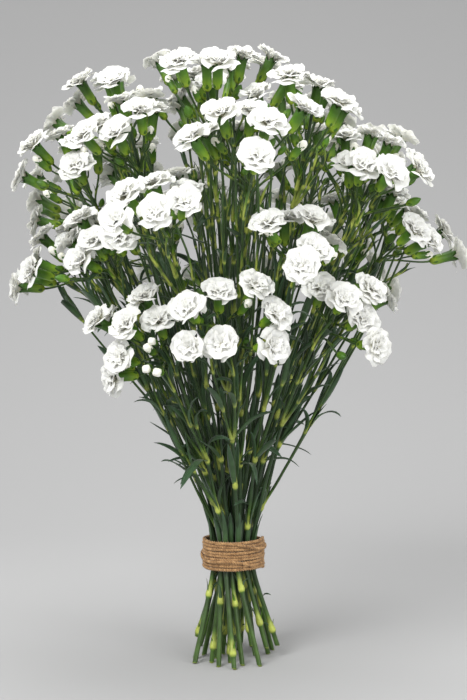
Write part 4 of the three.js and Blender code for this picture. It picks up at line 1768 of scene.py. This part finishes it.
class YarnTree(GrowthTree):
    """A twisted three-ply strand along a line, with loose fibres standing off it."""
    SIDES = 12
    PLIES = 3
    FIBRE_LEAN = 1.4
    FIBRE_SIZES = (0.5, 1.3)

    def __init__(self) -> None:
        """Wires the tree."""
        super().__init__("yarn")
        self.declare("Fibre", "NodeSocketObject")
        self.declare("Seed", "NodeSocketInt")
        for name in ("Radius", "Twist", "Hollow", "Fibre density"):
            self.declare(name, "NodeSocketFloat")
        self.declare("Finish", "NodeSocketMaterial")
        line = self.add("GeometryNodeMeshToCurve", {0: self.given("Geometry")}).outputs[0]
        length = self.add("GeometryNodeSplineParameter").outputs["Length"]
        line = self.store(line, "along", length, "POINT")
        tilt = self.math("MULTIPLY", length, self.given("Twist"))
        line = self.add("GeometryNodeSetCurveTilt", {"Curve": line, "Tilt": tilt}).outputs[0]
        circle = self.add("GeometryNodeCurvePrimitiveCircle", {"Resolution": self.SIDES, "Radius": 1.0})
        factor = self.add("GeometryNodeSplineParameter").outputs["Factor"]
        section = self.store(circle.outputs[0], "around", factor, "POINT")
        lobes = self.math("COSINE", self.math("MULTIPLY", factor, self.PLIES * FULL_TURN))
        hollowed = self.math("MULTIPLY_ADD", lobes, self.given("Hollow"), 1)
        swell = self.math("MULTIPLY", self.given("Radius"), hollowed)
        here = self.add("GeometryNodeInputPosition").outputs[0]
        spread = self.add("ShaderNodeVectorMath", {0: here, "Scale": swell}, operation="SCALE")
        section = self.add("GeometryNodeSetPosition", {
            "Geometry": section, "Position": spread.outputs["Vector"]})
        yarn = self.add("GeometryNodeCurveToMesh", {
            "Curve": line, "Profile Curve": section.outputs[0], "Fill Caps": True})
        spots = self.add("GeometryNodeDistributePointsOnFaces", {
            "Mesh": yarn.outputs[0], "Density": self.given("Fibre density"), "Seed": self.given("Seed")})
        lean = self.add("ShaderNodeCombineXYZ", {
            "X": self.draw(-self.FIBRE_LEAN, self.FIBRE_LEAN, 1),
            "Y": self.draw(-self.FIBRE_LEAN, self.FIBRE_LEAN, 2)})
        bent = self.add("FunctionNodeEulerToRotation", {0: lean.outputs[0]})
        rotation = self.add("FunctionNodeRotateRotation", {0: spots.outputs["Rotation"], 1: bent.outputs[0]},
                            rotation_space="LOCAL")
        body = self.add("GeometryNodeObjectInfo", {"Object": self.given("Fibre"), "As Instance": True})
        fibres = self.add("GeometryNodeInstanceOnPoints", {
            "Points": spots.outputs["Points"], "Instance": body.outputs["Geometry"],
            "Rotation": rotation.outputs[0], "Scale": self.draw(*self.FIBRE_SIZES, 3)})
        joined = self.add("GeometryNodeJoinGeometry")
        self.tree.links.new(yarn.outputs[0], joined.inputs[0])
        self.tree.links.new(fibres.outputs[0], joined.inputs[0])
        smooth = self.add("GeometryNodeSetShadeSmooth", {0: joined.outputs[0]})
        self.finish(smooth.outputs[0])


@dataclass
class TwineWork:
    """The jute twine: nine turns side by side round the tie, and a last one laid across them.

    strand is the radius of the strand, sink how far the middle of the coil's strand lies inside the
    frame's box, and over how much further out the crossing turn lies. The coil strays from its place by
    stray and waver, and the crossing turn, which starts at the angle crossing_start, by sway.
    """
    node: str = "twine_wrap"
    turns: float = 9.0
    crossing_turns: float = 1.25
    crossing_start: float = -2.2
    strand: float = 1.6 * MM
    steps_per_turn: int = 300
    sink: float = 2.3 * MM
    over: float = 2.2 * MM
    stray: float = 0.35 * MM
    waver: float = 0.3 * MM
    sway: float = 2 * MM
    twist: float = FULL_TURN / (8 * MM)
    hollow: float = 0.24
    jute: bpy.types.Material = field(default_factory=lambda: Jute().material())

    def fibre(self) -> bpy.types.Object:
        """Makes a loose end of fibre, thin, bent and tapered, along +Z.

        Returns:
            The shape, to be set out along the strand.
        """
        places = ((0, 0, -0.3), (0.1, 0, 0.8), (0.5, 0, 1.7), (1.3, 0.2, 2.4))
        radii = [0.07 * MM, 0.06 * MM, 0.045 * MM, 0.015 * MM]
        draft = Draft()
        draft.add_tube(tube_rings([Vector(place) * MM for place in places], radii, 3), [0, 0.3, 0.7, 1])
        return draft.template("fibre")

    def coil(self) -> tuple[list[Vector], list[Vector]]:
        """Lays the two stretches of twine.

        Returns:
            The line of the coil, and that of the turn that crosses it.
        """
        low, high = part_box(self.node)
        middle = (low + high) / 2
        outer = (high.x - low.x) / 2 - self.sink
        bottom, top = low.z + self.strand, high.z - self.strand
        coil, across = [], []
        steps = round(self.turns * self.steps_per_turn)
        for k in range(steps + 1):
            share = k / steps
            angle = FULL_TURN * k / self.steps_per_turn
            rise = self.stray * math.sin(1.37 * angle) * math.sin(math.pi * share)
            out = outer + self.stray * math.sin(7 * angle) + self.waver * math.sin(2.3 * angle)
            x, y = middle.x + out * math.cos(angle), middle.y + out * math.sin(angle)
            coil.append(Vector((x, y, mix(bottom, top, share) + rise)))
        steps = round(self.crossing_turns * self.steps_per_turn)
        for k in range(steps + 1):
            share = k / steps
            angle = FULL_TURN * self.crossing_turns * share + self.crossing_start
            rise = self.sway * math.sin(3 * angle)
            out = outer + self.over * min(1, 8 * min(share, 1 - share))
            x, y = middle.x + out * math.cos(angle), middle.y + out * math.sin(angle)
            across.append(Vector((x, y, mix(top - 1.5 * MM, bottom + 6 * MM, share) + rise)))
        return coil, across

    def dress(self) -> bpy.types.Object:
        """Builds the twine.

        Returns:
            The piece.
        """
        points, edges = [], []
        for line in self.coil():
            first = len(points)
            points += [tuple(point) for point in line]
            edges += [(k, k + 1) for k in range(first, len(points) - 1)]
        start = bpy.data.meshes.new("twine_line")
        start.from_pydata(points, edges, [])
        mesh = YarnTree().grow(
            "twine", start, Fibre=self.fibre(), Seed=7, Radius=self.strand, Twist=self.twist,
            Hollow=self.hollow, Fibre_density=70000.0, Finish=self.jute)
        return settle("twine", mesh, "twine", self.node)


# ---------------------------------------------------------------- the stage

@dataclass(frozen=True)
class Lamp:
    """A square soft light: its place and size in metres, and its power in watts."""
    name: str
    place: tuple[float, float, float]
    size: float
    watts: float


@dataclass
class Stage:
    """The pale floor and backdrop, the soft lights and the camera."""
    aim: Vector = field(default_factory=lambda: Vector((0, 0, 0.325)))
    distance: float = 1.5
    raised: float = math.radians(3)
    half_height: float = 0.3675
    floor_size: float = 4.0
    wall_distance: float = 0.7
    bend: float = 2.4
    bend_steps: int = 32
    glow: float = 0.7
    lamps: tuple[Lamp, ...] = (
        Lamp("key", (-1.1, -1.6, 1.9), 1.2, 54),
        Lamp("fill", (1.5, -1.8, 0.9), 1.6, 28),
        Lamp("top", (0.2, 0.3, 2.3), 1.6, 26),
    )

    def cyclorama(self) -> None:
        """A floor that curves up into the backdrop."""
        profile = [(-self.floor_size, 0.0)]
        for k in range(self.bend_steps + 1):
            angle = math.pi / 2 * k / self.bend_steps
            away = self.wall_distance + self.bend * math.sin(angle)
            profile.append((away, self.bend * (1 - math.cos(angle))))
        profile.append((self.wall_distance + self.bend, self.floor_size))
        points = [(x, y, z) for y, z in profile for x in (-self.floor_size, self.floor_size)]
        faces = [(2 * k, 2 * k + 1, 2 * k + 3, 2 * k + 2) for k in range(len(profile) - 1)]
        mesh = bpy.data.meshes.new("backdrop")
        mesh.from_pydata(points, [], faces)
        mesh.shade_smooth()
        mesh.materials.append(Paper().material())
        backdrop = bpy.data.objects.new("backdrop", mesh)
        bpy.context.scene.collection.objects.link(backdrop)

    def hang(self, lamp: Lamp) -> None:
        """Hangs one of the lamps, so that it looks at the middle of the bunch.

        Args:
            lamp: The lamp.
        """
        light = bpy.data.lights.new(lamp.name, "AREA")
        light.size = lamp.size
        light.energy = lamp.watts
        fitting = bpy.data.objects.new(lamp.name, light)
        place = Vector(lamp.place)
        fitting.location = place
        fitting.rotation_euler = (self.aim - place).to_track_quat("-Z", "Y").to_euler()
        bpy.context.scene.collection.objects.link(fitting)

    def camera(self) -> None:
        """The camera, at the height and distance of the photographer's."""
        lens = bpy.data.cameras.new("camera")
        lens.sensor_fit = "VERTICAL"
        lens.angle = 2 * math.atan(self.half_height / self.distance)
        camera = bpy.data.objects.new("camera", lens)
        away = Vector((0, -math.cos(self.raised), math.sin(self.raised)))
        camera.location = self.aim + away * self.distance
        camera.rotation_euler = (-away).to_track_quat("-Z", "Y").to_euler()
        bpy.context.scene.collection.objects.link(camera)
        bpy.context.scene.camera = camera

    def build(self) -> None:
        """Sets up the stage."""
        self.camera()
        self.cyclorama()
        for lamp in self.lamps:
            self.hang(lamp)
        world = bpy.data.worlds.new("studio")
        world.use_nodes = True
        board = Board(world.node_tree)
        glow = board.add("ShaderNodeBackground", {"Color": (1, 1, 1, 1), "Strength": self.glow})
        board.add("ShaderNodeOutputWorld", {"Surface": glow.outputs[0]})
        bpy.context.scene.world = world
        bpy.context.scene.view_settings.view_transform = "Standard"


# ---------------------------------------------------------------- the bunch

OPENING_SHARE = 0.45


def opening_buds(plan: SprayPlan, seed: int) -> list[Head]:
    """Those of a spray's buds that show white already."""
    chance = random.Random(seed)
    return [bud for bud in plan.buds if chance.random() < OPENING_SHARE]


def main() -> None:
    """Dresses the whole bunch."""
    logging.basicConfig(level=logging.INFO, format="%(name)s: %(message)s")
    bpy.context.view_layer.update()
    Stage().build()
    surveyor = Surveyor()
    numbers = sorted(name[len("stem_"):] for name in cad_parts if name.startswith("stem_"))
    stems, greens, petals = StemWork(), GreenWork(), PetalWork()
    greens.prepare()
    petals.prepare()
    for seed, number in enumerate(numbers):
        plan = surveyor.survey(number)
        bracts = stems.dress(plan, seed)
        opening = opening_buds(plan, seed)
        greens.dress(plan, opening, bracts, seed)
        petals.dress(plan, opening, seed)
        counts = len(plan.blooms), len(plan.buds), len(plan.leaves)
        log.info("spray %s: %d blooms, %d buds, %d leaves", number, *counts)
    TwineWork().dress()
    for shape in TEMPLATES:
        bpy.data.objects.remove(shape)
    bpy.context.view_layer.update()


if __name__ == "__main__":
    main()
